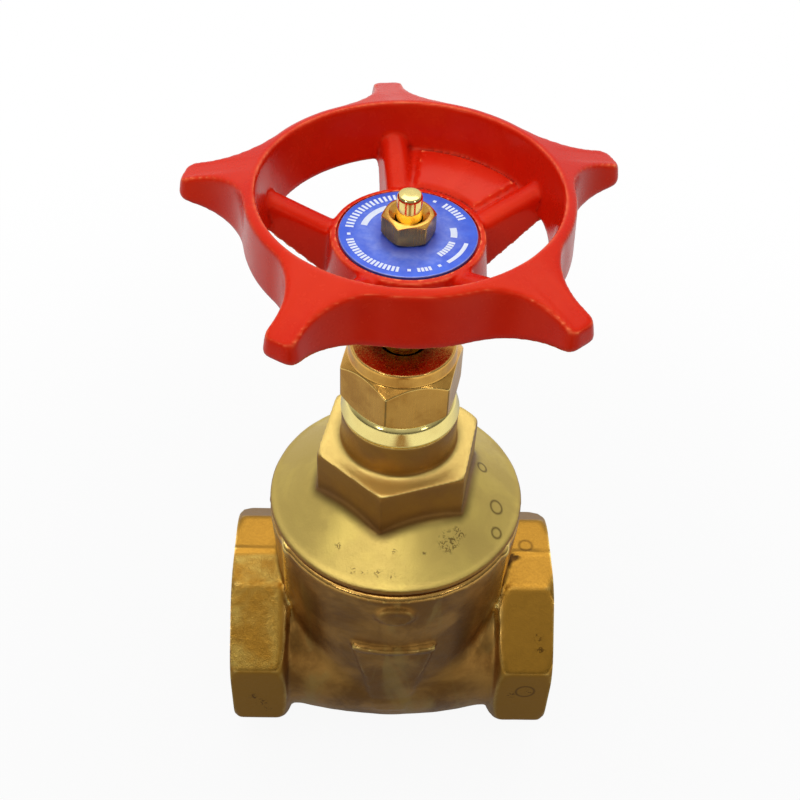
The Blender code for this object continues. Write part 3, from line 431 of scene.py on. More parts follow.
def mark_edges(piece, strength):
    """Stores how far each point stands out as an edge, and how deep it lies in a corner."""
    mesh = piece.data
    places, normals = points_of(mesh)
    ends = np.empty(len(mesh.edges) * 2, int)
    mesh.edges.foreach_get("vertices", ends)
    a, b = ends.reshape(-1, 2).T
    reach = places[b] - places[a]
    span = np.maximum((reach**2).sum(1), 1e-10)
    near = (span < (1.6 * MM) ** 2).astype(float)
    count = np.bincount(a, near, len(places)) + np.bincount(b, near, len(places))
    bend = np.bincount(a, near * (reach * normals[a]).sum(1) / span, len(places))
    bend -= np.bincount(b, near * (reach * normals[b]).sum(1) / span, len(places))
    bend *= 2 * MM / np.maximum(count, 1)
    for _ in range(2):
        spread = np.bincount(a, near * bend[b], len(places)) + np.bincount(b, near * bend[a], len(places))
        bend = 0.5 * bend + 0.5 * spread / np.maximum(count, 1)
    store(mesh, "edge", np.clip(-bend * strength, 0, 1))
    store(mesh, "hollow", np.clip(bend * strength, 0, 1))


def dressed(piece, finish, body, slot, *nodes):
    """Gives a finished piece its material and shading, and sets it on its body."""
    piece.data.name = piece.name
    piece.data.materials.clear()
    piece.data.materials.append(bpy.data.materials[finish])
    piece.data.shade_smooth()
    piece.data.set_sharp_from_angle(angle=math.radians(32))
    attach(piece, body)
    if nodes:
        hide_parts(*nodes)


# Shader parts

def feed(tree, node, values):
    """Sets the node's inputs to these values, and links those that are sockets."""
    for key, value in values.items():
        if isinstance(value, bpy.types.NodeSocket):
            tree.links.new(value, node.inputs[key])
        else:
            node.inputs[key].default_value = value
    return node


def add(tree, kind, values=(), **settings):
    """A node with its settings, and its inputs set or linked."""
    made = tree.nodes.new(kind)
    for key, value in settings.items():
        setattr(made, key, value)
    return feed(tree, made, dict(values))


def sums(tree, operation, *values, clamp=False):
    """One number from a row of values, worked out from the left, or from a lone value."""
    result = values[0]
    for value in values[1:] or (0.0,):
        both = {0: result, 1: value}
        result = add(tree, "ShaderNodeMath", both, operation=operation, use_clamp=clamp).outputs[0]
    return result


def times(tree, *values, clamp=False):
    return sums(tree, "MULTIPLY", *values, clamp=clamp)


def plus(tree, *values, clamp=False):
    return sums(tree, "ADD", *values, clamp=clamp)


def less(tree, *values, clamp=False):
    return sums(tree, "SUBTRACT", *values, clamp=clamp)


def most(tree, *values):
    return sums(tree, "MAXIMUM", *values)


def span(tree, value, low, high, to_low=0.0, to_high=1.0):
    """The value from low to high, as a number from to_low to to_high."""
    values = {0: value, 1: low, 2: high, 3: to_low, 4: to_high}
    return add(tree, "ShaderNodeMapRange", values, interpolation_type="SMOOTHSTEP").outputs[0]


def tinted(tree, mask, under, over):
    """The colour over laid on the colour under where the mask is 1. A colour is a socket or three numbers."""
    values = {0: mask}
    for key, shade in ((6, under), (7, over)):
        values[key] = shade if isinstance(shade, bpy.types.NodeSocket) else (*shade, 1.0)
    return add(tree, "ShaderNodeMix", values, data_type="RGBA").outputs[2]


def layered(tree, base, *coats):
    """The base with coats on it, each given by its mask and its colour."""
    for mask, shade in coats:
        base = tinted(tree, mask, base, shade)
    return base


def darker(shade, part):
    return tuple(part * c for c in shade)


def object_place(tree):
    return add(tree, "ShaderNodeTexCoord").outputs["Object"]


def stretched(tree, place, factors):
    """The place with each of its numbers times a factor, which draws a pattern out where it is small."""
    return add(tree, "ShaderNodeVectorMath", {0: place, 1: factors}, operation="MULTIPLY").outputs[0]


def distance(tree, place):
    """How far the place lies from the origin."""
    return add(tree, "ShaderNodeVectorMath", {0: place}, operation="LENGTH").outputs["Value"]


def off_axis(tree, place):
    """How far the place lies from the stem's axis."""
    return distance(tree, stretched(tree, place, (1, 1, 0)))


def grained(tree, place, scale, **values):
    """Noise from 0 to 1 at each place."""
    named = {key.capitalize(): value for key, value in values.items()}
    return add(tree, "ShaderNodeTexNoise", {"Vector": place, "Scale": scale, **named}).outputs[0]


def stored(tree, name):
    """A mask that is stored on the piece's points."""
    return add(tree, "ShaderNodeAttribute", attribute_name=name).outputs["Fac"]


def group(name, inputs, outputs):
    """An empty shader group with named float or vector inputs and float outputs."""
    tree = bpy.data.node_groups.new(name, "ShaderNodeTree")
    for label, value in inputs.items():
        kind = "NodeSocketVector" if isinstance(value, tuple) else "NodeSocketFloat"
        socket = tree.interface.new_socket(label, in_out="INPUT", socket_type=kind)
        socket.default_value = value
    for label in outputs:
        tree.interface.new_socket(label, in_out="OUTPUT", socket_type="NodeSocketFloat")
    return tree, tree.nodes.new("NodeGroupInput").outputs, tree.nodes.new("NodeGroupOutput")


def use(tree, name, **values):
    """Places a shader group in a material with its own values."""
    made = tree.nodes.new("ShaderNodeGroup")
    made.node_tree = bpy.data.node_groups[name]
    feed(tree, made, {key.replace("_", " ").capitalize(): value for key, value in values.items()})
    return made.outputs


def make_cast_skin():
    """Clouds, grain and pits of a sand casting."""
    sizes = {"Cloud scale": 90.0, "Grain scale": 1500.0, "Pit scale": 300.0, "Pit share": 0.12}
    tree, given, out = group("Cast skin", sizes, ("Clouds", "Grain", "Pits", "Height"))
    place = object_place(tree)
    cloud = grained(tree, place, given["Cloud scale"], detail=4.0, roughness=0.6, distortion=0.4)
    grain = grained(tree, place, given["Grain scale"], detail=3.0, roughness=0.65)
    cells = add(tree, "ShaderNodeTexVoronoi", {"Vector": place, "Scale": given["Pit scale"]})
    chance = add(tree, "ShaderNodeSeparateColor", {0: cells.outputs["Color"]}).outputs[0]
    chosen = sums(tree, "LESS_THAN", chance, given["Pit share"])
    ragged = plus(tree, cells.outputs["Distance"], times(tree, grain, 0.22))
    pits = times(tree, span(tree, ragged, 0.34, 0.2), chosen)
    height = less(tree, grain, times(tree, pits, 1.6))
    feed(tree, out, {"Clouds": span(tree, cloud, 0.36, 0.66), "Grain": grain, "Pits": pits, "Height": height})


def make_wear():
    """Edges rubbed bright and lit by painted highlights, and corners with grime and painted shade, from the
    marks stored on the piece.
    """
    tree, given, out = group("Wear", {"Edge": 1.0, "Corner": 1.0, "Scale": 600.0}, ("Rubbed", "Grime"))
    broken = times(tree, grained(tree, object_place(tree), given["Scale"], detail=3.0), 0.3)
    edge = span(tree, plus(tree, stored(tree, "edge"), broken), 0.3, 0.9)
    hollow = span(tree, plus(tree, stored(tree, "hollow"), broken), 0.25, 0.95)
    feed(tree, out, {"Rubbed": times(tree, edge, given["Edge"], clamp=True),
                     "Grime": times(tree, hollow, given["Corner"], clamp=True)})


def make_tool_marks():
    """Fine rings from turning round the stem's axis, and upright streaks from grinding."""
    sizes = {"Ring scale": 4200.0, "Streak scale": 2400.0}
    tree, given, out = group("Tool marks", sizes, ("Rings", "Streaks"))
    place = object_place(tree)
    height = add(tree, "ShaderNodeSeparateXYZ", {0: place}).outputs[2]
    section = add(tree, "ShaderNodeCombineXYZ", {0: off_axis(tree, place), 1: height}).outputs[0]
    drawn_out = stretched(tree, place, (1, 1, 0.06))
    feed(tree, out, {"Rings": grained(tree, section, given["Ring scale"], detail=2.0),
                     "Streaks": grained(tree, drawn_out, given["Streak scale"], detail=2.0)})


def make_ring_mark():
    """A plain cast ring of a given radius and line width round a centre on the surface."""
    sizes = {"Centre": (0.0, 0.0, 0.0), "Radius": 0.0015, "Width": 0.0003}
    tree, given, out = group("Ring mark", sizes, ("Mask",))
    ends = {0: object_place(tree), 1: given["Centre"]}
    away = add(tree, "ShaderNodeVectorMath", ends, operation="DISTANCE").outputs["Value"]
    off = sums(tree, "ABSOLUTE", less(tree, away, given["Radius"]))
    feed(tree, out, {"Mask": less(tree, 1.0, sums(tree, "DIVIDE", off, given["Width"]), clamp=True)})


def ring_marks(tree, width, *marks):
    """A mask for plain cast rings with lines of this width, each given by its centre and radius."""
    masks = []
    for centre, radius in marks:
        masks.append(use(tree, "Ring mark", centre=centre, radius=radius, width=width)["Mask"])
    return most(tree, *masks)


def torn_spots(tree):
    """Ragged dark specks inside the round patches stored on the piece."""
    torn = grained(tree, object_place(tree), 900.0, detail=3.0, distortion=1.5)
    return times(tree, stored(tree, "spots"), span(tree, torn, 0.5, 0.6, 0.0, 0.75))


def material(name):
    """A new material, with its node tree and its Principled shader."""
    made = bpy.data.materials.new(name)
    made.use_nodes = True
    return made.node_tree, made.node_tree.nodes["Principled BSDF"]


def raise_skin(tree, shader, height, depth):
    """Lets a height from 0 to 1 stand out by depth, in metres."""
    bump = add(tree, "ShaderNodeBump", {"Height": height, "Distance": depth, "Strength": 1.0})
    tree.links.new(bump.outputs[0], shader.inputs["Normal"])


def body_bronze(colours):
    """Brown cast bronze with drawn-out clouds, golden ends, stains, painted shade bands, a ridge with a
    painted highlight and a filed flat.
    """
    tree, shader = material("body_bronze")
    skin = use(tree, "Cast skin", cloud_scale=70.0, grain_scale=1300.0, pit_share=0.0)
    wear_and_light = use(tree, "Wear", edge=0.6, corner=0.15, scale=500.0)
    rim, filed = stored(tree, "rim"), stored(tree, "filed")
    place = object_place(tree)
    drawn_out = grained(tree, stretched(tree, place, (1, 1, 0.22)), 110.0, detail=4.0, distortion=0.8)
    brown = tinted(tree, skin["Clouds"], colours.bronze_dark, colours.bronze_warm)
    brown = tinted(tree, times(tree, span(tree, drawn_out, 0.5, 0.66), 0.55), brown, colours.bronze_shade)
    golden = tinted(tree, skin["Clouds"], colours.bronze_ends, colours.bronze_pale)
    golden = tinted(tree, times(tree, filed, 0.8), colours.bronze_ends, golden)
    marks = most(tree, ring_marks(tree, 0.0006, ((0.0352, 0.0023, 0.0545), 0.0017)),
                 ring_marks(tree, 0.0005, ((0.0352, -0.0272, 0.0305), 0.0024)))
    # Ring marks, specks, the dark lump and the painted shade bands on the barrel.
    stain = most(tree, stored(tree, "stain"), times(tree, marks, 0.6), torn_spots(tree))
    # The ridge's painted highlight comes in with the rim and with the rubbed edges.
    base = layered(tree, brown, (stored(tree, "ends"), golden), (wear_and_light["Grime"], colours.bronze_grime_and_shade),
                   (stain, colours.bronze_grime_and_shade), (rim, colours.bronze_warm),
                   (most(tree, wear_and_light["Rubbed"], stored(tree, "bead")), colours.bronze_rubbed_and_lit))
    bright = most(tree, wear_and_light["Rubbed"], rim)
    smooth = less(tree, span(tree, skin["Grain"], 0.2, 0.8, 0.27, 0.44), times(tree, bright, 0.16))
    feed(tree, shader, {"Base Color": base, "Metallic": 0.95, "Roughness": smooth})
    rough = grained(tree, place, 1500.0, detail=4.0, roughness=0.7, distortion=1.4)
    raise_skin(tree, shader, plus(tree, skin["Height"], times(tree, rough, filed, 5.0)), 0.035 * MM)


def bonnet_bronze(colours):
    """Tumbled bronze with painted light and shade: pale where it faces up, brown on its upright sides, with
    specks, grime, plain ring marks, a painted lit top and painted shade at the hexagon's foot.
    """
    tree, shader = material("bonnet_bronze")
    skin = use(tree, "Cast skin", cloud_scale=60.0, grain_scale=1700.0, pit_scale=300.0, pit_share=0.02)
    wear_and_light = use(tree, "Wear", edge=0.5, corner=0.7, scale=600.0)
    marks = ring_marks(tree, 0.0005, ((0.0211, 0.0022, 0.0856), 0.0013),
                       ((0.0242, -0.0081, 0.0827), 0.0017), ((0.0240, -0.0147, 0.0810), 0.0013))
    # Painted light and shade: faces that look up get the pale colours, upright faces the darker ones.
    upward = stored(tree, "upward")
    pale = tinted(tree, span(tree, skin["Clouds"], 0, 1, 0.6, 1), colours.bronze_shade, colours.bronze_pale)
    # Painted light: the hexagon's top is lightened as if lit, though the wheel shades it.
    pale = tinted(tree, stored(tree, "lit"), pale, colours.bronze_rubbed_and_lit)
    sides = tinted(tree, skin["Clouds"], colours.bronze_dark, colours.bronze_side_shade)
    base = tinted(tree, upward, sides, pale)
    # The hexagon's foot is darkened as painted shade, together with grime, specks, ring marks and pits.
    for mask in (torn_spots(tree), most(tree, wear_and_light["Grime"], stored(tree, "foot")), times(tree, marks, 0.75),
                 skin["Pits"]):
        base = tinted(tree, mask, base, colours.bronze_grime_and_shade)
    # Painted highlight: bright edges only on faces that look up, such as the hexagon's top edges.
    base = tinted(tree, times(tree, wear_and_light["Rubbed"], upward), base, colours.bronze_rubbed_and_lit)
    feed(tree, shader, {"Base Color": base, "Metallic": 0.8,
                        "Roughness": span(tree, skin["Grain"], 0.2, 0.8, 0.3, 0.46)})
    raise_skin(tree, shader, plus(tree, skin["Height"], marks), 0.03 * MM)


def brass(name, colours, bright, tarnish, low, high, rings, streaks):
    """Polished or turned brass: colour, share of tarnish, roughness from low to high, depth of its marks."""
    tree, shader = material(name)
    marks = use(tree, "Tool marks")
    skin = use(tree, "Cast skin", cloud_scale=140.0, grain_scale=900.0, pit_share=0.0)
    wear_and_light = use(tree, "Wear", edge=0.7, corner=0.8, scale=900.0)
    base = tinted(tree, times(tree, skin["Clouds"], tarnish), bright, colours.brass_shade)
    # Rubbed edges take the machined colour as painted highlights; corners get grime and painted shade.
    base = layered(tree, base, (wear_and_light["Grime"], colours.bronze_grime_and_shade),
                   (wear_and_light["Rubbed"], colours.brass_machined))
    feed(tree, shader, {"Base Color": base, "Metallic": 1.0,
                        "Roughness": span(tree, marks["Streaks"], 0.25, 0.75, low, high)})
    height = plus(tree, times(tree, marks["Rings"], rings), times(tree, marks["Streaks"], streaks))
    raise_skin(tree, shader, height, 0.01 * MM)


def red_enamel(colours):
    """Gloss enamel with painted highlights along its cast edges, darker in the corners where it gathered,
    partly as painted shade.
    """
    tree, shader = material("red_enamel")
    skin = use(tree, "Cast skin", cloud_scale=55.0, grain_scale=320.0, pit_share=0.0)
    wear_and_light = use(tree, "Wear", edge=0.9, corner=0.8, scale=260.0)
    base = tinted(tree, times(tree, skin["Clouds"], 0.18), colours.enamel, colours.enamel_thin)
    # Painted highlights on the edges, and painted shade with the deep enamel in the corners.
    base = layered(tree, base, (sums(tree, "POWER", wear_and_light["Rubbed"], 2.0), colours.enamel_edge_highlight),
                   (wear_and_light["Grime"], colours.enamel_deep))
    feed(tree, shader, {"Base Color": base, "Roughness": span(tree, skin["Grain"], 0.2, 0.8, 0.22, 0.3),
                        "Specular IOR Level": 0.3, "Specular Tint": (1.0, 0.3, 0.12, 1.0),
                        "Coat Weight": 0.05, "Coat Roughness": 0.07})
    raise_skin(tree, shader, skin["Height"], 0.02 * MM)


def plate_blue(colours):
    """A satin blue coat with fine rings, a painted shadow round the wheel nut, and pale edges from rubbing
    and painted highlights.
    """
    tree, shader = material("plate_blue")
    marks = use(tree, "Tool marks", ring_scale=2600.0)
    skin = use(tree, "Cast skin", cloud_scale=110.0, grain_scale=1800.0, pit_share=0.0)
    wear_and_light = use(tree, "Wear", edge=0.8, corner=0.3, scale=700.0)
    # Painted shadow of the wheel nut on the plate.
    nut_shadow = times(tree, span(tree, off_axis(tree, object_place(tree)), 0.0056, 0.0085, 1, 0), 0.75)
    base = tinted(tree, times(tree, skin["Clouds"], 0.6), colours.plate, colours.plate_shade)
    # Pale edges as painted highlights and rubbing, then the painted nut shadow.
    base = layered(tree, base, (times(tree, wear_and_light["Rubbed"], 0.6), colours.marks),
                   (nut_shadow, colours.plate_shade))
    feed(tree, shader, {"Base Color": base, "Metallic": 0.25,
                        "Roughness": span(tree, marks["Rings"], 0.2, 0.8, 0.26, 0.4)})
    raise_skin(tree, shader, marks["Rings"], 0.006 * MM)


def plain_finish(name, pale, part, low, high, grain, depth):
    """A colour whose grain darkens it to a part of itself, such as print, yarn or fibre."""
    tree, shader = material(name)
    skin = use(tree, "Cast skin", grain_scale=grain, pit_share=0.0)
    feed(tree, shader, {"Base Color": tinted(tree, skin["Grain"], darker(pale, part), pale),
                        "Roughness": span(tree, skin["Grain"], 0.2, 0.8, low, high)})
    raise_skin(tree, shader, skin["Height"], depth)


class VALVE_OT_finishes(bpy.types.Operator):
    """Mixes the finishes: bronze, brass, enamel, plate, print, packing and gasket"""
    bl_idname = "valve.finishes"
    bl_label = "Mix finishes"

    def execute(self, context):
        colours = context.scene.valve_colours
        for make in (make_cast_skin, make_wear, make_tool_marks, make_ring_mark):
            make()
        body_bronze(colours)
        bonnet_bronze(colours)
        brass("polished_brass", colours, colours.brass, tarnish=0.5, low=0.14, high=0.3, rings=0.3,
              streaks=0.35)
        brass("machined_brass", colours, colours.brass_machined, tarnish=0.15, low=0.1, high=0.2, rings=0.7,
              streaks=0.05)
        red_enamel(colours)
        plate_blue(colours)
        plain_finish("print_white", colours.marks, part=0.85, low=0.4, high=0.55, grain=2600.0,
                     depth=0.004 * MM)
        plain_finish("graphite_yarn", colours.graphite, part=0.5, low=0.55, high=0.8, grain=1400.0,
                     depth=0.06 * MM)
        plain_finish("gasket_fibre", colours.fibre, part=0.6, low=0.75, high=0.95, grain=2000.0,
                     depth=0.03 * MM)
        return {"FINISHED"}


# Body

def bowl_reach_at(body, x):
    """How far bowl and neck reach from the pipe's axis at this distance from the middle."""
    part = np.minimum(np.abs(x) / body.bowl_reach, 1.0)
    return body.bowl_radius - (body.bowl_radius - body.neck_radius) * part**2


def barrel_reach_at(body, height):
    """The barrel tapers from its rim down to the pipe's axis, and rounds off inside the bowl."""
    foot = body.bowl_radius - 0.15 * MM
    if height >= body.axis_height:
        part = (height - body.axis_height) / (body.rim_height - body.axis_height)
        return foot + (body.barrel_radius - foot) * part**0.85
    drop = (body.axis_height - height) / body.bowl_radius
    return (foot - 0.3 * MM) * math.sqrt(1 - drop**2) - 0.6 * MM * drop


def neck_reach_at(body, height, angles):
    """How far the neck reaches from the stem's axis at this height, in each direction."""
    along = np.maximum(np.abs(np.cos(angles)), 0.01)
    across = np.maximum(np.abs(np.sin(angles)), 0.01)
    inside = np.zeros(len(angles))
    outside = np.minimum((body.half_length - body.octagon_length + 2 * MM) / along, body.bowl_radius / across)
    for _ in range(22):
        middle = (inside + outside) / 2
        radius = bowl_reach_at(body, middle * along) - 0.3 * MM
        within = (middle * across) ** 2 + (height - body.axis_height) ** 2 < radius**2
        inside = np.where(within, middle, inside)
        outside = np.where(within, outside, middle)
    return inside


def barrel_form(body):
    """The upright part of the casting, with its fillet to the necks."""
    angles = all_round(200)
    heights = np.linspace(body.axis_height - 14 * MM, body.rim_height - 2.0 * MM, 60)
    rings = []
    for height in heights:
        upright = barrel_reach_at(body, height)
        neck = neck_reach_at(body, height, angles)
        if height < body.axis_height:
            reach = np.minimum(upright, neck)
        else:
            fillet = body.fillet * np.maximum(np.abs(np.cos(angles)), 0.05)
            blend = np.maximum(fillet - np.abs(upright - neck), 0) ** 2 / (4 * fillet)
            reach = np.maximum(upright, neck) + blend
        rings.append(ring(reach, height, angles))
    for inset, drop in ((0.0, 1.5), (0.12, 0.95), (0.45, 0.45), (0.95, 0.13), (1.5, 0.0)):  # the rim's round
        rings.append(ring(body.barrel_radius - inset * MM, body.rim_height - drop * MM, angles))
    return lofted("barrel", rings)


def bowl_form(body):
    """The rounded bottom and the two necks, turned about the pipe's axis."""
    reach = body.half_length - body.octagon_length + MM
    places = np.linspace(-reach, reach, 60)
    outline = [(0, -reach)] + list(zip(bowl_reach_at(body, places), places)) + [(0, reach)]
    return turned("bowl", outline, 160, matrix=along_pipe(body))


def end_form(body, side):
    """An octagon for the wrench, its corners cut at the face and faded into the neck."""
    inner = body.half_length - body.octagon_length
    corner = body.axis_height / math.cos(math.pi / 8)
    fade = corner - body.neck_radius
    outline = [(body.neck_radius - 0.3 * MM, inner - 0.5 * MM),
               (body.neck_radius + 0.45 * fade, inner + 0.32 * MM),
               (body.neck_radius + 0.8 * fade, inner + 1.28 * MM),
               (corner + 0.3 * MM, inner + 3.2 * MM),
               (corner + 0.3 * MM, body.half_length - 1.6 * MM),
               (corner - 1.6 * MM, body.half_length + 0.3 * MM),
               (corner - 1.8 * MM, body.half_length + 2 * MM)]
    radii, places = zip(*outline)
    angles = all_round(240)
    flats = polygon_reach(2 * body.axis_height, 8, angles, math.pi / 8)
    rings = []
    for place in np.linspace(places[0], places[-1], 50):
        rings.append(ring(soft_least(flats, np.interp(place, places, radii), 0.4 * MM), side * place, angles))
    return lofted("end", rings, matrix=along_pipe(body))


def front_of_body(body, x, height):
    """Depth of the body's front surface at this point of the front view."""
    if height >= body.axis_height:
        return math.sqrt(barrel_reach_at(body, height) ** 2 - x**2)
    return math.sqrt(bowl_reach_at(body, x) ** 2 - (height - body.axis_height) ** 2)


def panel_form(body, top, foot, top_width, foot_width, raised, rows=14, flat=0.45):
    """A raised plain panel on the front of the casting, flatter than the barrel behind it."""
    rings = []
    for i in range(rows + 1):
        height = body.axis_height + top + (foot - top) * i / rows
        half = (top_width + (foot_width - top_width) * i / rows) / 2
        across = [half * (2 * j / 12 - 1) for j in range(13)]
        middle = front_of_body(body, 0.0, height)
        depth = [flat * middle + (1 - flat) * front_of_body(body, x, height) for x in across]
        near = [(x, -y - raised, height) for x, y in zip(across, depth)]
        far = [(x, -front_of_body(body, x, height) + 2 * MM, height) for x in across]
        rings.append(near + far[::-1])
    return lofted("panel", rings)


def oval_form(body, height, half_width, half_height, raised):
    """A low plain oval pad on the front of the barrel."""
    rings = []
    for depth, grow in ((-2 * MM, 1.15), (0.0, 1.12), (0.8 * raised, 1.0), (raised, 0.85)):
        points = []
        for a in all_round(40):
            x = half_width * grow * math.cos(a)
            z = height + half_height * grow * math.sin(a)
            points.append((x, -front_of_body(body, x, z) - depth, z))
        rings.append(points)
    return lofted("oval", rings)


def body_marks(body, casting):
    """Sand waviness, the parting line, a chipped gate, a raised ridge and the filed flat, with masks for the
    finish, among them painted shade bands and the ridge's painted highlight.
    """
    places, normals = points_of(casting.data)
    x, y, z = places.T
    flat_end = step(np.abs(x), body.half_length - 14.6 * MM, body.half_length - 12.6 * MM)
    wave = clouds(places, 9 * MM, 3.1) + 0.5 * clouds(places, 3.5 * MM, 7.7)
    rim = step(z, body.rim_height - 1.6 * MM, body.rim_height - 0.9 * MM) * (np.abs(x) < body.barrel_radius)
    amount = body.waviness * wave * (1 - 0.75 * flat_end) * (1 - 0.8 * rim)
    seam = np.exp(-((y / (0.5 * MM)) ** 2)) * (np.abs(normals[:, 1]) < 0.6)
    seam *= step(clouds(places, 6 * MM, 1.3), -0.9, 0.2)
    amount += 0.4 * MM * seam * (np.abs(x) > 20 * MM)
    top_side = 2 * body.axis_height
    lump = np.zeros(len(places))
    ragged = 0.5 * clouds(places, 1.6 * MM, 8.8)
    for spot_x, spot_y, size in ((29.6, -2.6, 2.6), (31.4, -1.9, 1.9)):
        away = np.hypot(np.hypot(x - spot_x * MM, y - spot_y * MM), z - top_side) / (size * MM)
        lump = np.maximum(lump, 1 - step(away + ragged, 0.55, 0.95))
    amount += 0.3 * MM * lump
    filed = step(-x, body.half_length - 13.4 * MM, body.half_length - 11 * MM)
    filed *= step(-y, 1.2 * MM, 3 * MM) * step(z, body.axis_height + 10.8 * MM, body.axis_height + 13 * MM)
    near_face = step(-x, body.half_length - 6 * MM, body.half_length - 1 * MM)
    ripple = (1 - near_face) * clouds(places, 1.3 * MM, 4.4) + 0.5 * clouds(places, 0.8 * MM, 9.4)
    ripple += 1.3 * near_face * clouds(places * (0.35, 1.0, 1.0), 1.1 * MM, 6.6)
    amount += 0.07 * MM * filed * ripple
    # Painted highlight: a raised ridge where barrel meets neck at the front, stored as a bright line.
    turn = np.degrees(np.arctan2(-y, z - body.axis_height))
    bead = np.exp(-(((np.abs(x) - 26.9 * MM) / (0.7 * MM)) ** 2))
    bead = bead * step(turn, 10, 16) * (1 - step(turn, 34, 44))
    amount += 0.5 * MM * bead
    push(casting, amount)
    store(casting.data, "ends", flat_end)
    # The rim mask carries the ridge's painted highlight too.
    store(casting.data, "rim", np.maximum(rim, bead))
    store(casting.data, "bead", bead)
    store_spots(casting.data, places, (
        (37.6, -20.4, 45.4, 1.5), (38.2, -22.7, 43.1, 1.5), (-34.0, -27.2, 24.1, 2.0),
        (-32.5, -27.2, 21.1, 1.5), (-36.0, -27.2, 26.8, 1.5), (31.9, -27.2, 28.9, 1.6),
        (36.1, -27.2, 30.4, 1.2), (15.0, -24.0, 14.0, 1.8)))
    store(casting.data, "filed", filed)
    # Painted shade: two upright dark bands on the barrel's front, stored with the dark lump.
    shade = 0.0
    for middle in (-20.5, 17.5):
        band = np.abs(x / MM - middle) / 3.2 + 0.25 * ragged
        shade = np.maximum(shade, (1 - step(band, 0.3, 1.1)) * (y < 0))
    shade *= step(z, 34 * MM, 44 * MM) * (1 - step(z, 64 * MM, 71 * MM)) * (1 - flat_end)
    store(casting.data, "stain", np.maximum(0.9 * lump, 0.35 * shade))


def threaded_mouth(body, side):
    """A cutter for one pipe mouth: chamfer, parallel thread, run-out and plain bore."""
    angles = all_round(144)
    inner = body.half_length - body.socket_depth
    root = body.socket_radius + body.thread_depth
    end_of_thread = body.half_length - 14.2 * MM
    rings = []
    places = np.concatenate([np.arange(inner, body.half_length + 0.1 * MM, 0.19 * MM),
                             [body.half_length + 0.3 * MM, body.half_length + 2 * MM]])
    for place in places:
        phase = (place / body.thread_pitch + angles / TURN * side) % 1.0
        tooth = np.clip(1.25 * (1 - np.abs(2 * phase - 1)) - 0.12, 0, 1)
        tooth = tooth * np.clip((place - end_of_thread) / (2 * MM), 0, 1)
        reach = body.socket_radius + body.thread_depth * tooth
        chamfer = root + min(place - body.half_length, 0.4 * MM)
        rings.append(ring(np.maximum(reach, chamfer), side * place, angles))
    return lofted("mouth", rings, matrix=along_pipe(body))


def chamber_form(body):
    """The hollow round the wedge, up to the bonnet's thread."""
    shoulder = bonnet_low.z - ROOM
    rise = shoulder - body.axis_height
    wide, half, mouth = 23.4 * MM, 13.5 * MM, HOLLOW_RADIUS
    levels = []
    for drop in (0.985, 0.94, 0.85, 0.72, 0.56, 0.38, 0.19, 0.0):
        across = wide * math.sqrt(1 - drop**2)
        along = min(half * (1 - 0.45 * drop**3), across)
        levels.append((body.axis_height - drop * wide, along, across, 0.72))
    levels += [(body.axis_height + 0.55 * rise, half + 0.5 * MM, wide, 0.72),
               (body.axis_height + 0.72 * rise, (half + mouth) / 2, wide, 0.72),
               (body.axis_height + 0.86 * rise, mouth - MM, wide, 0.72),
               (shoulder - 2 * MM, mouth, mouth, 1.0), (shoulder + MM, mouth, mouth, 1.0)]
    angles = all_round(80)
    rings = []
    for height, along, across, square in levels:
        x = along * np.sign(np.cos(angles)) * np.abs(np.cos(angles)) ** square
        y = across * np.sign(np.sin(angles)) * np.abs(np.sin(angles)) ** square
        rings.append(np.stack([x, y, np.full(len(angles), height)], axis=1))
    return lofted("chamber", rings)


def leaning_disc(body, radius, half):
    """A disc across the pipe whose two faces lean together towards the bottom."""
    across, rise = radius * np.cos(all_round(128)), radius * np.sin(all_round(128))
    rings = []
    for side in (-1, 1):
        x = side * (half + rise * math.tan(SEAT_LEAN))
        rings.append(np.stack([x, across, body.axis_height + rise], axis=1))
    return lofted("disc", rings)


def rod(body, radius, low, high):
    """A round bar along the pipe's axis."""
    return turned("rod", [(0, low), (radius, low), (radius, high), (0, high)], matrix=along_pipe(body))


